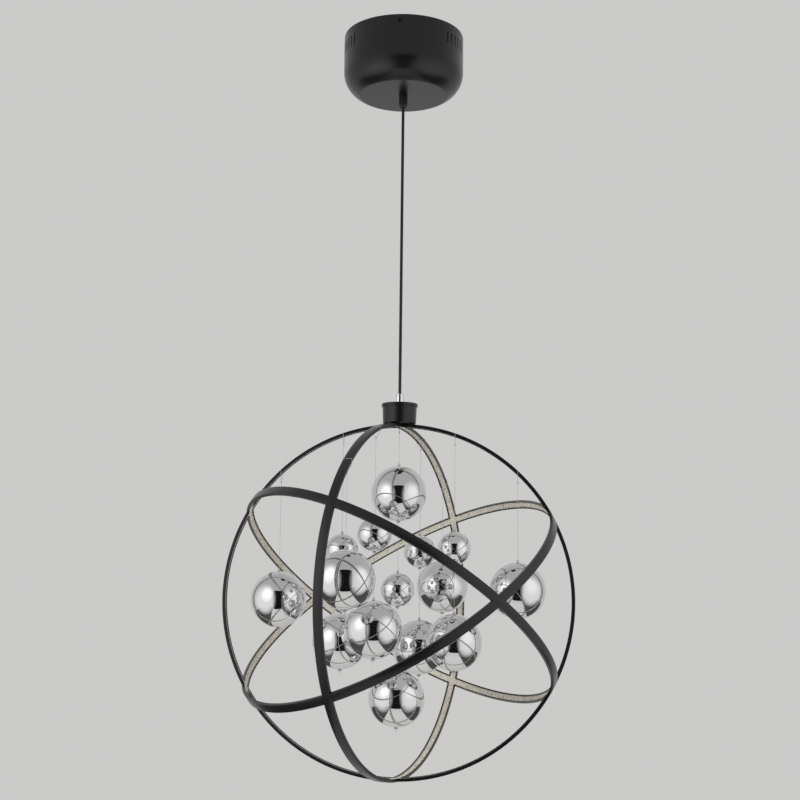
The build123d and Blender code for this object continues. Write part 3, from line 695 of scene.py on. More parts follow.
# ------------------------------------------------------------------- canopy
@dataclass
class Canopy:
    """The drum at the ceiling, with its vents and side-screw holes."""

    wall: float = 1.2
    straight: float = 64.0           # height of the upright side
    side_rings: int = 8
    curve: float = 45.0              # radius of the rounded lower edge
    curve_points: int = 25
    inner_points: int = 12
    floor_rings: tuple[float, ...] = (0.97, 0.6, 0.3)
    rim_roll: float = 0.5
    facets: int = 160
    vent_width: float = 3.0
    vent_height: float = 21.5
    vent_drop: float = 15.0
    vents: int = 6                   # in each of four groups
    vent_first: float = 50.0         # degrees from the side screws' line
    vent_pitch: float = 5.8
    vent_cut: float = 10.0
    vent_sides: int = 20
    grip_hole: float = 5.1
    screw_hole: float = 2.2
    screw_drop: float = 9.7
    screw_sides: int = 24
    screw_drill: float = 2.2         # length of their drill, in radii of the drum

    def __post_init__(self) -> None:
        """Reads the drum's size from the frame."""
        low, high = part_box("canopy_shell")
        self.radius, self.height = high[0] / MM, -low[2] / MM

    def section(self) -> list[Point]:
        """The shell's section: outside from the rim down, and inside back up.

        Returns:
            Radius and height of each point.
        """
        centre = (self.radius - self.curve, -self.straight)
        drop = self.height - self.straight
        inner = self.curve - self.wall
        end = math.degrees(math.asin(drop / self.curve))
        inner_end = math.degrees(math.asin((drop - self.wall) / inner))
        outside = [(self.radius - self.rim_roll, 0), (self.radius, -self.rim_roll)]
        for ring in range(1, self.side_rings):
            outside.append((self.radius, -self.straight * ring / self.side_rings))
        outside += arc(centre, self.curve, 0, -end, self.curve_points)
        crease = outside[-1][0]
        outside += [(crease * part, -self.height) for part in self.floor_rings]
        outside.append((self.grip_hole, -self.height))
        return [
            *outside,
            (self.grip_hole, -self.height + self.wall),
            *arc(centre, inner, -inner_end, 0, self.inner_points),
            (self.radius - self.wall, 0),
        ]

    def vent_cutters(self) -> Object:
        """Upright slots with round ends, in four groups.

        Returns:
            All of them as one cutter.
        """
        middle = -self.vent_drop - self.vent_height / 2
        slot = primitive(
            bpy.ops.mesh.primitive_cylinder_add, "vent_cutter", vertices=self.vent_sides,
            radius=self.vent_width / 2 * MM, depth=self.vent_cut * MM,
            location=(self.radius * MM, 0, middle * MM), rotation=(0, QUARTER, 0),
        )
        with editing(slot):
            bpy.ops.mesh.bisect(plane_co=(0, 0, middle * MM), plane_no=(0, 0, 1))
        for side in (-1, 1):
            pick(slot, "VERT", lambda spot: (spot.co.z - middle * MM) * side > WELD_DISTANCE)
            with editing(slot, everything=False):
                lift = side * (self.vent_height - self.vent_width) / 2
                bpy.ops.transform.translate(value=(0, 0, lift * MM))
        cutters = []
        for side in (-1, 1):
            for end in (-1, 1):
                for index in range(self.vents):
                    angle = end * (90 - side * (self.vent_first + index * self.vent_pitch))
                    turn = Matrix.Rotation(math.radians(angle), 4, "Z")
                    cutters.append(copy_of(slot, "vent_cutter", turn))
        discard(slot)
        return join(cutters, "vent_cutters")

    def build(self) -> None:
        """Turns the drum, then cuts its vents and its two screw holes."""
        shell = lathe("canopy_drum", self.section(), self.facets)
        holes = primitive(
            bpy.ops.mesh.primitive_cylinder_add, "screw_holes", vertices=self.screw_sides,
            radius=self.screw_hole * MM, depth=self.screw_drill * self.radius * MM,
            location=(0, 0, -self.screw_drop * MM), rotation=(QUARTER, 0, 0),
        )
        cut(shell, join([self.vent_cutters(), holes], "canopy_cutter"))
        smooth(shell)
        Dressing(Finishes.BLACK_PAINT, "canopy", "satin_black_steel").put_on(shell, "canopy_shell")


@dataclass
class CordGrip:
    """The black strain relief under the drum."""

    barrel: float = 7.65
    nose: float = 5.3
    nose_length: float = 4.0
    thread: float = 4.9
    thread_length: float = 9.0
    thread_depth: float = 0.5
    bore: float = 2.9
    mouth: float = 3.52
    mouth_depth: float = 2.0
    lip: float = 0.3
    lip_height: float = 0.2
    corner: float = 0.6
    groove_depth: float = 0.35
    groove_height: float = 0.8
    low_groove: float = 2.4          # over the nose
    high_groove: float = 3.2         # under the shoulder
    facets: int = 56

    def section(self) -> list[Point]:
        """Outside with two grooves and a coarse thread, then the flared bore.

        Returns:
            Radius and height of each point.
        """
        low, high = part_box("cord_grip_body")
        bottom, top = low[2] / MM, high[2] / MM
        shoulder = top - self.thread_length
        cone = bottom + self.nose_length
        points = [
            (self.mouth + self.lip, bottom),
            (self.nose - self.corner, bottom),
            (self.nose, bottom + self.corner),
            (self.barrel - self.corner, cone - self.corner),
            (self.barrel, cone + self.corner),
        ]
        mouth = self.groove_height
        for middle in (cone + self.low_groove, shoulder - self.high_groove):
            points += groove(self.barrel, middle, self.groove_depth, mouth, mouth / 2)
        points += [(self.barrel, shoulder - self.corner), (self.barrel - self.corner, shoulder)]
        points.append((self.thread, shoulder))
        for turn in range(1, int(self.thread_length)):
            points.append((self.thread - self.thread_depth * (turn % 2), shoulder + turn))
        return points + [
            (self.thread - self.thread_depth, top),
            (self.bore, top),
            (self.bore, bottom + self.mouth_depth),
            (self.mouth, bottom + self.lip_height),
        ]

    def build(self) -> None:
        """Makes the grip."""
        grip = lathe("cord_grip", self.section(), self.facets)
        Dressing(Finishes.BLACK_PLASTIC, "canopy", "black_plastic").put_on(grip, "cord_grip_body")


# --------------------------------------------------------------------- cord
@dataclass
class HangingCord:
    """The free cord, straight under its load."""

    diameter: float = 5.2
    # height and share of the full thickness; the top end is round about its pivot
    route: tuple[Point, ...] = (
        (-123.9, 0.02), (-124.0, 0.56), (-124.75, 0.93), (-126.5, 1.0), (-160.0, 1.0),
        (-300.0, 1.0), (-480.0, 1.0), (-620.0, 1.0), (-656.2, 1.0),
    )
    sides: int = 6
    steps: int = 12

    def build(self) -> None:
        heights, shares = zip(*self.route)
        line = RoundLine(self.diameter / 2, self.sides, self.steps)
        flex = line.draw("flexible_cord", [(0, 0, height) for height in heights], shares)
        Dressing(Finishes.CORD_SHEATH, "hanging_cord", "cord_jacket").put_on(flex, "cord")


# ---------------------------------------------------------------------- hub
@dataclass
class Hub:
    """Gland, lid and cup on the top crossing."""

    cup_top: float = 29.85
    cup_bottom: float = 28.7
    cup_wall: float = 1.5
    cup_corner: float = 2.5
    cup_points: int = 7              # round its foot
    cup_rings: int = 5
    inner_corner: float = 1.0
    stem_hole: float = 5.2
    lid_skirt: float = 5.5
    lid_wall: float = 1.4
    lid_gap: float = 0.2
    lid_corner: float = 1.0
    lid_points: int = 6
    lid_bead: float = 0.5
    lid_rings: Point = (0.5, 0.85)
    gland: float = 7.0
    gland_seat: float = 0.1
    gland_corner: float = 0.2
    gland_dome: float = 1.8
    dome_end: float = 80.0           # degrees
    dome_points: int = 8
    gland_bore: float = 2.9
    bore_lip: float = 0.5
    groove_drop: float = 6.2         # top of the gland to its groove
    groove_depth: float = 0.25
    groove_height: float = 0.7
    groove_floor: float = 0.4
    socket: float = 5.05
    socket_depth: float = 8.0
    facets: int = 96

    def __post_init__(self) -> None:
        """Reads the heights from the frame."""
        self.floor, self.rim = (corner[2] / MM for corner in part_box("hub_cup"))
        self.lid_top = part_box("hub_lid")[1][2] / MM
        self.gland_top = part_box("cord_gland")[1][2] / MM

    def cup_section(self) -> list[Point]:
        """Tapered cup with a rounded foot.

        Returns:
            Radius and height of each point.
        """
        corner = self.cup_corner
        height = self.rim - self.floor
        flare = self.cup_top - self.cup_bottom
        foot = (self.cup_bottom - corner, self.floor + corner)
        points = [(self.stem_hole, self.floor)]
        points += arc(foot, corner, -90, 0, self.cup_points)
        for ring in range(1, self.cup_rings + 1):
            part = ring / self.cup_rings
            points.append((self.cup_bottom + flare * part, self.floor + height * part))
        inside, inner_floor = self.cup_bottom - self.cup_wall, self.floor + self.cup_wall
        return points + [
            (self.cup_top - self.cup_wall, self.rim),
            (inside, inner_floor + self.inner_corner),
            (inside - self.inner_corner, inner_floor),
            (self.stem_hole, inner_floor),
        ]

    def lid_section(self) -> list[Point]:
        """Lid with a rounded top edge and a beaded skirt.

        Returns:
            Radius and height of each point.
        """
        outer = self.cup_top + self.lid_gap + self.lid_wall
        inner = outer - self.lid_wall
        corner, bead = self.lid_corner, self.lid_bead
        foot, under = self.lid_top - self.lid_skirt, self.lid_top - self.lid_wall
        return [
            (self.stem_hole, self.lid_top),
            *((outer * part, self.lid_top) for part in self.lid_rings),
            *arc((outer - corner, self.lid_top - corner), corner, 90, 0, self.lid_points),
            (outer, foot + 2 * bead),
            (outer, foot + bead),
            (outer - bead, foot),
            (inner, foot),
            (inner, under),
            (self.stem_hole, under),
        ]

    def gland_section(self) -> list[Point]:
        """Chromed gland: a plain barrel with one groove and a domed top.

        Returns:
            Radius and height of each point.
        """
        foot = self.lid_top + self.gland_seat
        middle = self.gland_top - self.groove_drop
        cut_size = (self.groove_depth, self.groove_height, self.groove_floor)
        dome = self.gland_dome
        shoulder = (self.gland - dome, self.gland_top - dome)
        socket_top = self.lid_top + self.socket_depth
        return [
            (self.socket, foot),
            (self.gland - self.gland_corner, foot),
            (self.gland, foot + self.gland_corner),
            *groove(self.gland, middle, *cut_size),
            *arc(shoulder, dome, 0, self.dome_end, self.dome_points),
            (self.gland_bore + self.bore_lip, self.gland_top - self.gland_seat),
            (self.gland_bore, self.gland_top - self.gland_seat - self.bore_lip),
            (self.gland_bore, socket_top),
            (self.socket, socket_top),
        ]

    def build(self) -> None:
        """Makes the three turned pieces."""
        paint = Dressing(Finishes.BLACK_PAINT, "cage", "satin_black_steel")
        paint.put_on(lathe("hub_cup_shell", self.cup_section(), self.facets), "hub_cup")
        paint.put_on(lathe("hub_lid_shell", self.lid_section(), self.facets), "hub_lid")
        gland = lathe("chrome_gland", self.gland_section(), self.facets // 2)
        Dressing(Finishes.CHROME, "cage", "chrome").put_on(gland, "cord_gland")


# --------------------------------------------------------------------- cage
CAGE_CENTRE = Vector((0, 0, -1000 * MM))
TILT = math.asin(1 / math.sqrt(3))
UPRIGHT_TURN = -math.acos(-1 / 3)
RIDGE_TURN = UPRIGHT_TURN / 2
TOP_ZONE = 250.0                     # height over the middle where the stem's gap is


@dataclass(frozen=True)
class HoopPlace:
    """Where one hoop stands: its own axis, by azimuth and tilt, in radians."""

    letter: str
    node: str
    azimuth: float
    tilt: float

    @property
    def normal(self) -> Vector:
        """The hoop's own axis.

        Returns:
            A unit vector.
        """
        out = math.sin(self.tilt)
        return Vector(
            (out * math.cos(self.azimuth), out * math.sin(self.azimuth), math.cos(self.tilt))
        )

    @property
    def matrix(self) -> Matrix:
        """From a ring about Z at the origin to the hoop's place."""
        turn = Matrix.Rotation(self.azimuth, 4, "Z") @ Matrix.Rotation(self.tilt, 4, "Y")
        return Matrix.Translation(CAGE_CENTRE) @ turn


HOOPS = (
    HoopPlace("a", "upright_hoop_a", -QUARTER, QUARTER),
    HoopPlace("b", "upright_hoop_b", UPRIGHT_TURN - QUARTER, QUARTER),
    HoopPlace("c", "tilted_hoop_c", RIDGE_TURN + QUARTER, TILT),
    HoopPlace("d", "tilted_hoop_d", RIDGE_TURN - QUARTER, TILT),
)


def take_out(ring: Object, normal: Vector, half: float, keep: FaceTest | None = None) -> None:
    """Takes out of a hoop or strip what lies between two planes.

    Args:
        ring: the mesh, round the cage's middle.
        normal: the planes' normal.
        half: from the cage's middle to each plane, in millimetres.
        keep: faces that stay although they lie between the planes.
    """
    for side in (-1, 1):
        with editing(ring):
            spot = CAGE_CENTRE + normal * (side * half * MM)
            bpy.ops.mesh.bisect(plane_co=spot, plane_no=normal)
    limit = half * MM - WELD_DISTANCE

    def between(face: MeshPolygon) -> bool:
        """Whether a face lies between the planes and isn't kept."""
        inside = abs((face.center - CAGE_CENTRE).dot(normal)) < limit
        return inside and not (keep and keep(face))

    delete_faces(ring, between)


def away_from_top(face: MeshPolygon) -> bool:
    """Whether a face isn't near the top crossing."""
    return face.center.z < CAGE_CENTRE.z + TOP_ZONE * MM


@dataclass
class HoopPart:
    """A piece that runs round in one hoop's place, and butts against earlier ones."""

    index: int                       # of its hoop in HOOPS

    @property
    def hoop(self) -> HoopPlace:
        """Where it stands."""
        return HOOPS[self.index]

    @property
    def earlier(self) -> tuple[HoopPlace, ...]:
        """The hoops that it butts against."""
        return HOOPS[: self.index]


@dataclass
class Band(HoopPart):
    """A hoop: a rolled channel, black all over, with its lips to the middle."""

    radius: float = 300.0
    depth: float = 5.5
    width: float = 14.5
    wall: float = 1.5
    corner: float = 0.4
    corner_points: int = 4
    skin: float = 0.2                # how far under the groove's floor a face is still outside
    facets: int = 180
    stem_hole: float = 5.2
    drill_sides: int = 40
    drill_depth: float = 20.0

    def sheet(self) -> Object:
        """The channel's outer skin, from lip to lip, as an open ring.

        Returns:
            The ring, in its place.
        """
        half = self.width / 2
        lower = [(self.radius - self.depth, -half), (self.radius - self.wall, -half)]
        centre = (self.radius - self.corner, -half + self.corner)
        lower += arc(centre, self.corner, -90, 0, self.corner_points)
        upper = [(radius, -height) for radius, height in reversed(lower)]
        ring = lathe(f"hoop_{self.hoop.letter}", lower + upper, self.facets, closed=False)
        return place(ring, self.hoop.matrix)

    def build(self) -> None:
        """Cuts, thickens and dresses the hoop."""
        ring, normal = self.sheet(), self.hoop.normal
        for earlier in self.earlier:
            take_out(ring, earlier.normal, self.width / 2)
        floor = (self.radius - self.wall - self.skin) * MM

        def outer_skin(face: MeshPolygon) -> bool:
            """Whether a face belongs to the plate outside the groove's floor."""
            spot = face.center - CAGE_CENTRE
            return (spot - normal * spot.dot(normal)).length > floor

        for later in HOOPS[self.index + 1 :]:
            take_out(ring, later.normal, self.width / 2 - self.wall, keep=outer_skin)
        with editing(ring):
            bpy.ops.mesh.remove_doubles(threshold=WELD_DISTANCE)
            bpy.ops.mesh.normals_make_consistent(inside=False)
        use_modifier(ring, "SOLIDIFY", thickness=self.wall * MM, offset=-1, use_even_offset=True)
        if not self.earlier:
            top = CAGE_CENTRE + Vector((0, 0, self.radius * MM))
            cut(ring, primitive(
                bpy.ops.mesh.primitive_cylinder_add, "stem_drill", vertices=self.drill_sides,
                radius=self.stem_hole * MM, depth=self.drill_depth * MM, location=top,
            ))
        paint = Dressing(Finishes.BAND_PAINT, "cage", "satin_black_aluminium")
        paint.put_on(smooth(ring), self.hoop.node)


@dataclass
class LightStrip(HoopPart):
    """Light tape in a hoop's groove, its small parts, and the clear cover on it."""

    width: float = 10.6
    tape_outer: float = 298.3
    tape_thickness: float = 0.6
    cover_side: float = 1.9
    cover_crown: float = 2.7
    crown_points: int = 9
    seat: float = 0.1
    top_gap: float = 12.8
    facets: int = 180
    groups: int = 62                 # each about 30 mm long, as the tape is cut
    chips: int = 3                   # in a group
    chip: Triple = (3.5, 2.8, 0.8)   # along the tape, across it, and off it
    phosphor_inset: float = 0.45
    phosphor_height: float = 0.1
    phosphor_corner: float = 0.3
    rim_drop: float = 0.08
    resistor: Triple = (1.6, 3.2, 0.5)
    resistor_corner: float = 0.12

    @property
    def face(self) -> float:
        """Radius of the tape's face, which the chips stand on."""
        return self.tape_outer - self.tape_thickness

    def ring(self, name: str, section: Sequence[Point], closed: bool) -> Object:
        """Turns a section, and cuts it where it meets earlier strips and the stem.

        Args:
            name: the piece's name, without the hoop's letter.
            section: radius and height of each point.
            closed: whether the section is a loop.

        Returns:
            The ring, in its hoop.
        """
        ring = lathe(f"{name}_{self.hoop.letter}", section, self.facets, closed)
        place(ring, self.hoop.matrix)
        for earlier in self.earlier:
            take_out(ring, earlier.normal, self.width / 2 + self.seat)
        if self.hoop.tilt == QUARTER:
            along = self.hoop.normal.cross(Vector((0, 0, 1)))
            take_out(ring, along, self.top_gap, keep=away_from_top)
        return ring

    def tape(self) -> Object:
        """The tape itself, as a thickened ring of sheet.

        Returns:
            The tape.
        """
        edges = [(self.tape_outer, -self.width / 2), (self.tape_outer, self.width / 2)]
        ring = self.ring("light_tape", edges, closed=False)
        use_modifier(ring, "SOLIDIFY", thickness=self.tape_thickness * MM, offset=-1)
        return smooth(ring)

    def cover(self) -> Object:
        """The clear cover: flat sides and a crowned face.

        Returns:
            The cover.
        """
        half = self.width / 2
        side = self.face - self.seat / 2
        rise = self.cover_crown - self.cover_side
        radius = (half**2 + rise**2) / (2 * rise)
        spread = math.degrees(math.asin(half / radius))
        centre = (side - self.cover_side - rise + radius, 0)
        crown = arc(centre, radius, 180 + spread, 180 - spread, self.crown_points)
        ring = self.ring("clear_cover", [(side, half), (side, -half), *crown], closed=True)
        with editing(ring):
            bpy.ops.mesh.fill_holes(sides=0)
            bpy.ops.mesh.normals_make_consistent(inside=False)
        return smooth(ring)

    def missing(self, angle: float) -> bool:
        """Whether a part at an angle round the ring falls in a cut.

        Args:
            angle: round the ring, in radians.

        Returns:
            True where the part is left out.
        """
        spot = Vector((math.cos(angle), math.sin(angle), 0)) * self.face * MM
        spot = self.hoop.matrix @ spot - CAGE_CENTRE
        margin = (self.width / 2 + self.chip[0]) * MM
        if any(abs(spot.dot(earlier.normal)) < margin for earlier in self.earlier):
            return True
        near_stem = spot.xy.length < (self.top_gap + self.chip[0]) * MM
        return spot.z > 0 and near_stem and self.hoop.tilt == QUARTER

    def block(self, name: str, size: Triple, base: float) -> Object:
        """A plain block on the tape at angle 0, ready to be shaped.

        Args:
            name: the part's name.
            size: along the tape, across it, and off it.
            base: radius of the face that it stands on.

        Returns:
            The block.
        """
        length, width, height = size
        return primitive(
            bpy.ops.mesh.primitive_cube_add, name, scale=(height, length, width), size=MM,
            location=((base - height / 2) * MM, 0, 0),
        )

    def bevelled(self, name: str, size: Triple, base: float, corner: float) -> Object:
        """A block with its edges broken.

        Args:
            name: the part's name.
            size: as for block.
            base: as for block.
            corner: width of the bevel.

        Returns:
            The part.
        """
        part = self.block(name, size, base)
        with editing(part):
            bpy.ops.mesh.bevel(offset=corner * MM, segments=1)
        return part

    def chip_frame(self) -> Object:
        """A chip's pale frame with its rim inset.

        Returns:
            The part.
        """
        part = self.block("chip", self.chip, self.face)
        pick(part, "FACE", lambda face: face.normal.x < -SQUARE_ON)
        with editing(part, everything=False):
            bpy.ops.mesh.inset(thickness=self.phosphor_inset * MM, depth=-self.rim_drop * MM)
        return part

    def ring_of(self, part: Object, count: int, offset: float, name: str) -> Object:
        """Copies a part round the ring, leaving out those in the cuts.

        Args:
            part: the part at angle 0.
            count: copies in a full turn.
            offset: of the first copy, in steps.
            name: the piece's name.

        Returns:
            All the copies as one piece.
        """
        step = math.tau / count
        ring = copy_of(part, name, Matrix.Rotation(offset * step, 4, "Z"))
        with editing(ring):
            bpy.ops.mesh.spin(
                steps=count - 1, angle=step * (count - 1), center=(0, 0, 0), axis=(0, 0, 1),
                dupli=True,
            )

        def cut_away(face: MeshPolygon) -> bool:
            """Whether the face's copy lies in a cut."""
            turns = round(math.atan2(face.center.y, face.center.x) / step - offset)
            return self.missing((turns + offset) * step)

        delete_faces(ring, cut_away)
        return smooth(place(ring, self.hoop.matrix))

    def build(self) -> None:
        """Makes the tape, its small parts and the cover."""
        letter = self.hoop.letter
        Dressing(Finishes.TAPE, "cage", "led_tape").put_on(self.tape(), f"led_strip_{letter}")
        count = self.groups * self.chips
        length, width, height = self.chip
        inset = 2 * self.phosphor_inset
        glowing = (length - inset, width - inset, self.phosphor_height)
        phosphor = self.bevelled("phosphor", glowing, self.face - height, self.phosphor_corner)
        resistor = self.bevelled("resistor", self.resistor, self.face, self.resistor_corner)
        for part, number, offset, kind, finish in (
            (self.chip_frame(), count, 0.5, "chips", Finishes.CHIP_FRAME),
            (phosphor, count, 0.5, "phosphor_faces", Finishes.PHOSPHOR),
            (resistor, self.groups, 0.0, "resistors", Finishes.RESISTOR),
        ):
            ring = self.ring_of(part, number, offset, f"{kind}_{letter}")
            Dressing(finish, "cage", "led_tape").put_on(ring)
            discard(part)
        silicone = Dressing(Finishes.SILICONE, "cage", "clear_silicone")
        silicone.put_on(self.cover(), f"strip_cover_{letter}")


# -------------------------------------------------------------------- balls
@dataclass(frozen=True)
class BallSize:
    """A mirrored ball's outer radius and the rows of facets down its side."""

    radius: float
    rows: int


LARGE = BallSize(47.5, 72)
SMALL = BallSize(28.5, 56)


@dataclass
class MirrorBall:
    """A blown ball, silvered, with a small hole at each pole."""

    size: BallSize
    wall: float = 1.6
    hole: float = 2.2
    lip: float = 0.35
    facets: int = 96
    inner_rows: int = 14

    def build(self) -> Object:
        """Turns the ball about the origin.

        Returns:
            The ball.
        """
        outer, inner = self.size.radius, self.size.radius - self.wall
        start = math.degrees(math.acos((self.hole + self.lip) / outer))
        end = math.degrees(math.acos(self.hole / inner))
        outside = arc((0, 0), outer, start, -start, self.size.rows)
        inside = arc((0, 0), inner, -end, end, self.inner_rows)
        edge = math.sqrt(outer**2 - self.hole**2) - self.lip
        section = [*outside, (self.hole, -edge), *inside, (self.hole, edge)]
        return lathe("ball_pattern", section, self.facets)


@dataclass
class ClearFittings:
    """The clear cap over a ball's upper hole and the stopper under it."""

    neck: float = 2.0
    bore: float = 0.45
    neck_length: float = 3.0
    seat: float = 0.1
    cap: float = 3.2
    cap_flange: float = 1.0
    cap_corner: float = 0.35
    cap_points: int = 4
    nipple: float = 2.0
    nipple_flare: float = 0.3
    flare_heights: Point = (0.1, 0.6)
    nipple_height: float = 4.5
    nipple_dome: float = 0.8
    dome_drop: float = 0.8           # of the dome's middle
    dome_end: float = 80.0           # degrees
    dome_points: int = 5
    stopper: float = 3.7
    stopper_height: float = 2.6
    stopper_start: float = 60.0
    stopper_points: int = 8
    facets: int = 28

    def build_cap(self) -> Object:
        """Turns the cap: neck, thin flange and a domed nipple.

        Returns:
            The cap, with its ball's upper pole at the origin.
        """
        top = self.seat + self.cap_flange
        corner, dome = self.cap_corner, self.nipple_dome
        low, high = self.flare_heights
        middle = (self.nipple - dome, self.nipple_height - self.dome_drop)
        section = [
            (self.bore, -self.neck_length),
            (self.neck, -self.neck_length),
            (self.neck, self.seat),
            (self.cap, self.seat),
            *arc((self.cap - corner, top - corner), corner, 0, 90, self.cap_points),
            (self.nipple + self.nipple_flare, top + low),
            (self.nipple, top + high),
            *arc(middle, dome, 0, self.dome_end, self.dome_points),
            (self.bore, self.nipple_height),
        ]
        return lathe("cap_pattern", section, self.facets)

    def build_stopper(self) -> Object:
        """Turns the stopper: neck above and a round button below.

        Returns:
            The stopper, with its ball's lower pole at the origin.
        """
        half = self.stopper_height / 2
        start, end = self.stopper_start, -self.dome_end
        section = [
            (self.bore, self.neck_length),
            (self.neck, self.neck_length),
            (self.neck, -self.seat),
            *arc((self.stopper - half, -half), half, start, end, self.stopper_points),
            (self.bore, -self.stopper_height),
        ]
        return lathe("stopper_pattern", section, self.facets)


@dataclass(frozen=True)
class Loop:
    """A line's loop: half its width, and the heights of its top and lower corners."""

    half: float
    top: float
    corner: float


@dataclass
class ClearLine:
    """The nylon line: a loop round its band or pin, a wrapped knot and a fall."""

    radius: float = 0.4
    knot_turns: float = 3.5
    knot_radius: float = 0.72
    knot_length: float = 3.6
    knot_points: int = 10            # in a turn
    knot_drop: float = 9.0           # from the loop's corners
    waist: float = 0.55              # width half way down to the knot
    bend: float = 1.0
    sides: int = 3
    steps: int = 4

    def tube(self, name: str, points: Sequence[Triple]) -> Object:
        """A round line through points.

        Args:
            name: the piece's name.
            points: control points, in millimetres.

        Returns:
            The line as a mesh.
        """
        line = RoundLine(self.radius, self.sides, self.steps).draw(name, points)
        activate(line)
        bpy.ops.object.convert(target="MESH")
        return bpy.context.active_object

    def wraps(self, knot: float) -> list[Triple]:
        """The turns of the knot about the line.

        Args:
            knot: height of its top.

        Returns:
            Points along it.
        """
        count = int(self.knot_turns * self.knot_points)
        points = []
        for index in range(count + 1):
            angle = math.tau * index / self.knot_points
            x, y = math.cos(angle) * self.knot_radius, math.sin(angle) * self.knot_radius
            points.append((x, y, knot - self.knot_length * index / count))
        return points

    def build(self, name: str, matrix: Matrix, loop: Loop, bottom: float) -> Object:
        """Makes one line, with its loop across the local X axis.

        Args:
            name: the piece's name.
            matrix: the line's place, with heights from the cage's middle.
            loop: its loop.
            bottom: height of the line's end.

        Returns:
            The line as one mesh.
        """
        half, top, corner = loop.half, loop.top, loop.corner
        knot = corner - self.knot_drop
        side = [
            (self.radius, 0, knot - self.knot_length),
            (self.radius, 0, knot),
            (half * self.waist, 0, (knot + corner) / 2),
            (half, 0, corner),
            (half, 0, (top + corner) / 2),
            (half, 0, top - self.bend),
            (half, 0, top),
            (half - self.bend, 0, top),
        ]
        far_side = [(-x, y, z) for x, y, z in reversed(side)]
        fall = [(0, 0, knot), (0, 0, (knot + bottom) / 2), (0, 0, bottom)]
        pieces = [
            self.tube(name, [*side, (0, 0, top), *far_side]),
            self.tube("fall", fall),
            self.tube("wraps", self.wraps(knot)),
        ]
        return place(smooth(join(pieces, name)), matrix)


@dataclass(frozen=True)
class StringPlan:
    """One line: its name, the way it stands off the axis, its reach and its balls."""

    name: str
    azimuth: float
    reach: float
    balls: tuple[tuple[str, BallSize], ...]

    @property
    def body(self) -> str:
        """The body that the line swings with."""
        return f"{self.name}_string"

    @property
    def matrix(self) -> Matrix:
        """The line's place, with its local X square to its hoop."""
        turn = Matrix.Rotation(self.azimuth - QUARTER, 4, "Z")
        return Matrix.Translation(CAGE_CENTRE) @ turn @ Matrix.Translation((0, self.reach * MM, 0))


@dataclass
class BallStrings:
    """All the lines, with their balls, caps and stoppers."""

    band: Band
    line: ClearLine
    near_reach: float = 96.5
    far_reach: float = 204.0
    tail: float = 7.0                # of the line, under the lowest stopper
    loop_seat: float = 0.1
    loop_gap: float = 0.25
    loop_drop: float = 2.5
    pin_loop_half: float = 1.3

    def plans(self) -> list[StringPlan]:
        """The nine lines.

        Returns:
            Their plans, the middle one first.
        """
        near = (("upper_ball", SMALL), ("lower_ball", LARGE))
        centre = (("top_ball", LARGE), ("middle_ball", SMALL), ("bottom_ball", LARGE))
        plans = [StringPlan("centre", QUARTER, 0.0, centre)]
        for way, azimuth in (
            ("left", math.pi), ("right", 0.0),
            ("front", UPRIGHT_TURN), ("back", UPRIGHT_TURN + math.pi),
        ):
            plans.append(StringPlan(f"{way}_near", azimuth, self.near_reach, near))
            plans.append(StringPlan(f"{way}_far", azimuth, self.far_reach, (("ball", LARGE),)))
        return plans

    def loop(self, plan: StringPlan) -> Loop:
        """A line's loop, round its band or over the stem's pin.

        Args:
            plan: which line.

        Returns:
            The loop, with heights from the cage's middle.
        """
        line, radius = self.line.radius, self.band.radius
        if not plan.reach:
            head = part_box("hub_stem")[0][2] - CAGE_CENTRE.z
            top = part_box("centre_line")[1][2] - CAGE_CENTRE.z
            return Loop(self.pin_loop_half, top / MM - line, head / MM)
        outside = math.sqrt(radius**2 - plan.reach**2)
        inside = math.sqrt((radius - self.band.depth) ** 2 - plan.reach**2)
        top = outside + (line + self.loop_seat) * radius / outside
        return Loop(self.band.width / 2 + self.loop_gap + line, top, inside - self.loop_drop)

    def build(self) -> None:
        """Builds every string from one pattern of each piece."""
        fittings = ClearFittings()
        balls = {size: MirrorBall(size).build() for size in (LARGE, SMALL)}
        cap, stopper = fittings.build_cap(), fittings.build_stopper()
        for plan in self.plans():
            glass = Dressing(Finishes.MIRROR, plan.body, "mirror_glass")
            clear = Dressing(Finishes.NYLON, plan.body, "clear_nylon")
            bottom = 0.0
            for label, size in plan.balls:
                node = f"{plan.name}_{label}"
                low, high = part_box(node)
                height = (low[2] + high[2]) / 2 - CAGE_CENTRE.z
                centre = plan.matrix @ Matrix.Translation((0, 0, height))
                pole = Matrix.Translation((0, 0, size.radius * MM))
                glass.put_on(copy_of(balls[size], f"{node}_glass", centre), node)
                clear.put_on(copy_of(cap, f"{node}_cap", centre @ pole))
                clear.put_on(copy_of(stopper, f"{node}_stopper", centre @ pole.inverted()))
                bottom = height / MM - size.radius - fittings.stopper_height - self.tail
            name = f"{plan.name}_clear_line"
            line = self.line.build(name, plan.matrix, self.loop(plan), bottom)
            clear.put_on(line, f"{plan.name}_line")
        for pattern in (*balls.values(), cap, stopper):
            discard(pattern)


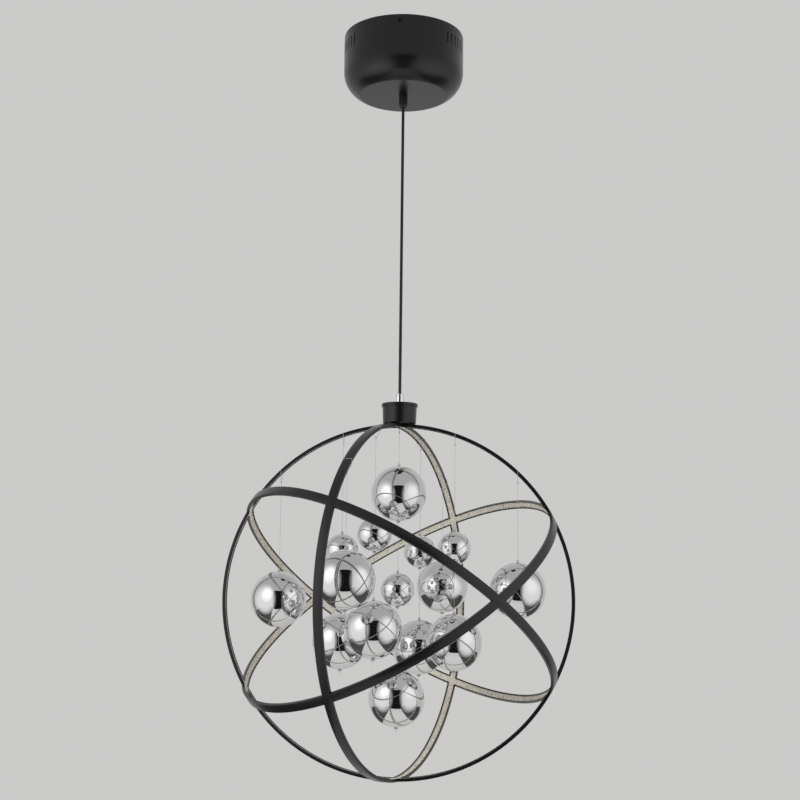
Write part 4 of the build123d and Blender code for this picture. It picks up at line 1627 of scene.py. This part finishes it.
# ------------------------------------------------------- carried-over pieces
class InnerWorks:
    """Pieces whose construction shape is right and which get a finish only."""

    finishes: dict[Finishes, tuple[str, ...]] = {
        Finishes.ZINC: (
            "ceiling_bracket", "driver_screws", "hub_stem", "hub_pin", "hub_nuts", "hub_washer",
        ),
        Finishes.BLACK_STEEL: ("canopy_side_screws",),
        Finishes.WHITE_PLASTIC: ("led_driver", "terminal_block", "hub_splice"),
        Finishes.BRASS: ("terminal_screws",),
        Finishes.MAINS_WIRES: ("mains_leads",),
        Finishes.STRIP_WIRES: ("strip_leads",),
        Finishes.CORD_SHEATH: ("inner_lead", "hub_lead"),
        Finishes.BLACK_PLASTIC: ("cord_grip_nut",),
    }

    def dress(self) -> None:
        """Coats each piece with its finish."""
        for finish, names in self.finishes.items():
            for name in names:
                PALETTE.coat(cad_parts[name], finish)
                log.info("%s gets %s", name, finish.value.name)


# ------------------------------------------------------------------- studio
def from_lamp(azimuth: float, distance: float, height: float) -> Vector:
    """Place by degrees to the right of the front, and metres out and up."""
    angle = math.radians(azimuth)
    return Vector((math.sin(angle) * distance, -math.cos(angle) * distance, height))


@dataclass(frozen=True)
class Disc:
    """A level disc over or under the lamp."""

    name: str
    radius: float
    height: float
    color: Triple
    roughness: float
    specular: float
    vertices: int

    def build(self) -> Shader:
        """Adds the disc to the stage.

        Returns:
            Its shader.
        """
        disc = primitive(
            bpy.ops.mesh.primitive_circle_add, self.name, vertices=self.vertices,
            radius=self.radius, fill_type="NGON", location=(0, 0, self.height),
        )
        shader = Shader(self.name)
        shader.set(Roughness=self.roughness, Specular_IOR_Level=self.specular)
        shader.set(Base_Color=(*self.color, 1))
        disc.data.materials.append(shader.material)
        return shader


@dataclass(frozen=True)
class Panel:
    """A flat panel round the lamp, which the camera itself doesn't see."""

    name: str
    azimuth: float                   # degrees
    distance: float
    height: float                    # of its middle
    width: float
    length: float
    lying: bool = False
    shade: float = 0.012
    roughness: float = 0.9
    specular: float = 0.1
    glow: float = 0.0                # at its middle, fading out to its edges
    fade_start: float = 0.5          # from its middle, as a share of its side
    fade_end: float = 0.16

    def build(self) -> None:
        """Adds the panel."""
        panel = primitive(
            bpy.ops.mesh.primitive_plane_add, self.name, scale=(self.width, self.length, 1), size=1,
            location=from_lamp(self.azimuth, self.distance, self.height),
            rotation=(0 if self.lying else QUARTER, 0, math.radians(self.azimuth)),
        )
        shader = Shader(self.name)
        if self.glow:
            self.light_up(shader)
        else:
            shader.set(Roughness=self.roughness, Specular_IOR_Level=self.specular)
            shader.set(Base_Color=(self.shade, self.shade, self.shade, 1))
            panel.visible_diffuse = False
        panel.data.materials.append(shader.material)
        panel.visible_camera = False
        panel.visible_shadow = False

    def light_up(self, shader: Shader) -> None:
        """Makes the panel glow, brightest in the middle and clear at its edges.

        Args:
            shader: the panel's.
        """
        spot = {0: shader.node("TexCoord").outputs["UV"], 1: (0.5, 0.5, 0)}
        away = shader.node("VectorMath", spot, operation="DISTANCE").outputs["Value"]
        glow = shader.node("Emission", {"Color": (1, 1, 1, 1), "Strength": self.glow})
        shader.show(shader.step(away, self.fade_start, self.fade_end), glow.outputs[0])


@dataclass(frozen=True)
class Lamp:
    """A soft round lamp that mirrors don't show."""

    name: str
    azimuth: float
    lift: float                      # over the target, in metres
    power: float
    distance: float = 2.8
    size: float = 1.5

    def build(self, target: Vector) -> None:
        """Adds the lamp.

        Args:
            target: what it faces.
        """
        data = bpy.data.lights.new(self.name, "AREA")
        data.shape = "DISK"
        data.size = self.size
        data.energy = self.power
        lamp = bpy.data.objects.new(self.name, data)
        bpy.context.collection.objects.link(lamp)
        away = from_lamp(self.azimuth, self.distance, self.lift)
        lamp.location = target + away
        lamp.rotation_euler = away.to_track_quat("Z", "Y").to_euler()
        lamp.visible_glossy = False


@dataclass(frozen=True)
class Studio:
    """Plain pale floor and walls, soft light from both sides and a dark front, in metres."""

    wall: Triple = (0.60, 0.595, 0.59)
    ceiling: Triple = (0.50, 0.50, 0.50)
    grey_way: Point = (0.64, 0.77)   # forwards and upwards parts of the greyest direction
    grey_start: float = -0.1
    grey_end: float = 0.5
    discs: tuple[Disc, ...] = (
        Disc("studio_floor", 4.2, -2.35, (0.88, 0.875, 0.86), 0.8, 0.2, 96),
        # painted shade: a dark disc in the drum's open top, seen only by camera rays from below, so
        # the vents look dark; it stops no light
        Disc("painted_shade_disc", 0.106, 0.002, (0.03, 0.03, 0.03), 0.9, 0.5, 64),
    )
    target: Triple = (0, 0, -0.75)
    panels: tuple[Panel, ...] = (
        Panel("panel_front", 4.3, 1.55, -1.13, 1.38, 2.42),
        Panel("panel_left", -56, 1.05, -1.02, 2.6, 2.9, glow=0.95),
        Panel("panel_right", 63, 1.05, -1.02, 2.5, 2.9, glow=0.92),
        Panel("spot_left", -50, 0.9, -0.72, 1.0, 1.05, glow=1.4),
        Panel("spot_right", 64, 0.9, -0.76, 1.0, 1.05, glow=1.1),
        Panel("cloth_left", -90, 1.85, -2.33, 4.4, 2.3, lying=True, shade=0.10),
        Panel("cloth_right", 90, 1.85, -2.33, 4.4, 2.3, lying=True, shade=0.10),
    )
    lamps: tuple[Lamp, ...] = (Lamp("lamp_left", -48, 1.1, 30), Lamp("lamp_right", 58, 1.3, 24))

    def build_world(self) -> None:
        """Pale walls all round, and greyer above and in front of the lamp."""
        world = bpy.data.worlds.new("studio")
        bpy.context.scene.world = world
        world.use_nodes = True
        sky = Nodes(world.node_tree)
        ways = {0: sky.node("TexCoord").outputs["Generated"], 1: from_lamp(0, *self.grey_way)}
        ahead = sky.node("VectorMath", ways, operation="DOT_PRODUCT").outputs["Value"]
        amount = sky.step(ahead, self.grey_start, self.grey_end)
        color = sky.blend(amount, self.wall, self.ceiling)
        sky.fill(world.node_tree.nodes["Background"], {"Color": color})

    def build_discs(self) -> None:
        """Pale floor, and a dark disc of painted shade in the drum's open top, seen only by camera
        rays from below.
        """
        _, shader = [disc.build() for disc in self.discs]
        # painted shade: the disc shows only to camera rays that meet it from below, and is clear to
        # every other ray
        below = shader.node("NewGeometry").outputs["Backfacing"]
        camera_ray = shader.node("LightPath").outputs["Is Camera Ray"]
        seen = shader.node("Math", {0: below, 1: camera_ray}, operation="MULTIPLY")
        shader.show(seen.outputs[0], shader.principled.outputs[0])

    def build(self) -> None:
        """Sets the studio up."""
        self.build_world()
        self.build_discs()
        for panel in self.panels:
            panel.build()
        for lamp in self.lamps:
            lamp.build(Vector(self.target))


# ------------------------------------------------------------------- camera
@dataclass(frozen=True)
class PhotoCamera:
    """The camera at the photograph's angle, for a square picture."""

    focal_pixels: float = 1343.2
    picture: float = 800.0           # pixels
    sensor: float = 36.0
    place: Triple = (171.5, -2302.0, -993.3)
    turn: float = 4.25               # degrees about Z
    pitch: float = 8.28              # degrees upwards
    roll: float = 0.67

    def build(self) -> None:
        """Adds the camera and makes it the scene's."""
        data = bpy.data.cameras.new("photo_camera")
        data.sensor_width = self.sensor
        data.lens = self.focal_pixels / self.picture * self.sensor
        camera = bpy.data.objects.new("photo_camera", data)
        bpy.context.collection.objects.link(camera)
        camera.matrix_world = Matrix.Translation(Vector(self.place) * MM)
        for angle, axis in ((self.turn, "Z"), (90 + self.pitch, "X"), (self.roll, "Z")):
            camera.matrix_world @= Matrix.Rotation(math.radians(angle), 4, axis)
        bpy.context.scene.camera = camera


def main() -> None:
    """Builds the lamp from the ceiling down, then the studio."""
    logging.basicConfig(level=logging.INFO, format="%(name)s: %(message)s")
    bpy.context.scene.view_settings.view_transform = "Standard"
    PhotoCamera().build()
    HangingCord().build()
    Canopy().build()
    CordGrip().build()
    Hub().build()
    bands = [Band(index) for index in range(len(HOOPS))]
    for band in bands:
        band.build()
        LightStrip(band.index).build()
    BallStrings(bands[0], ClearLine()).build()
    InnerWorks().dress()
    Studio().build()


if __name__ == "__main__":
    main()
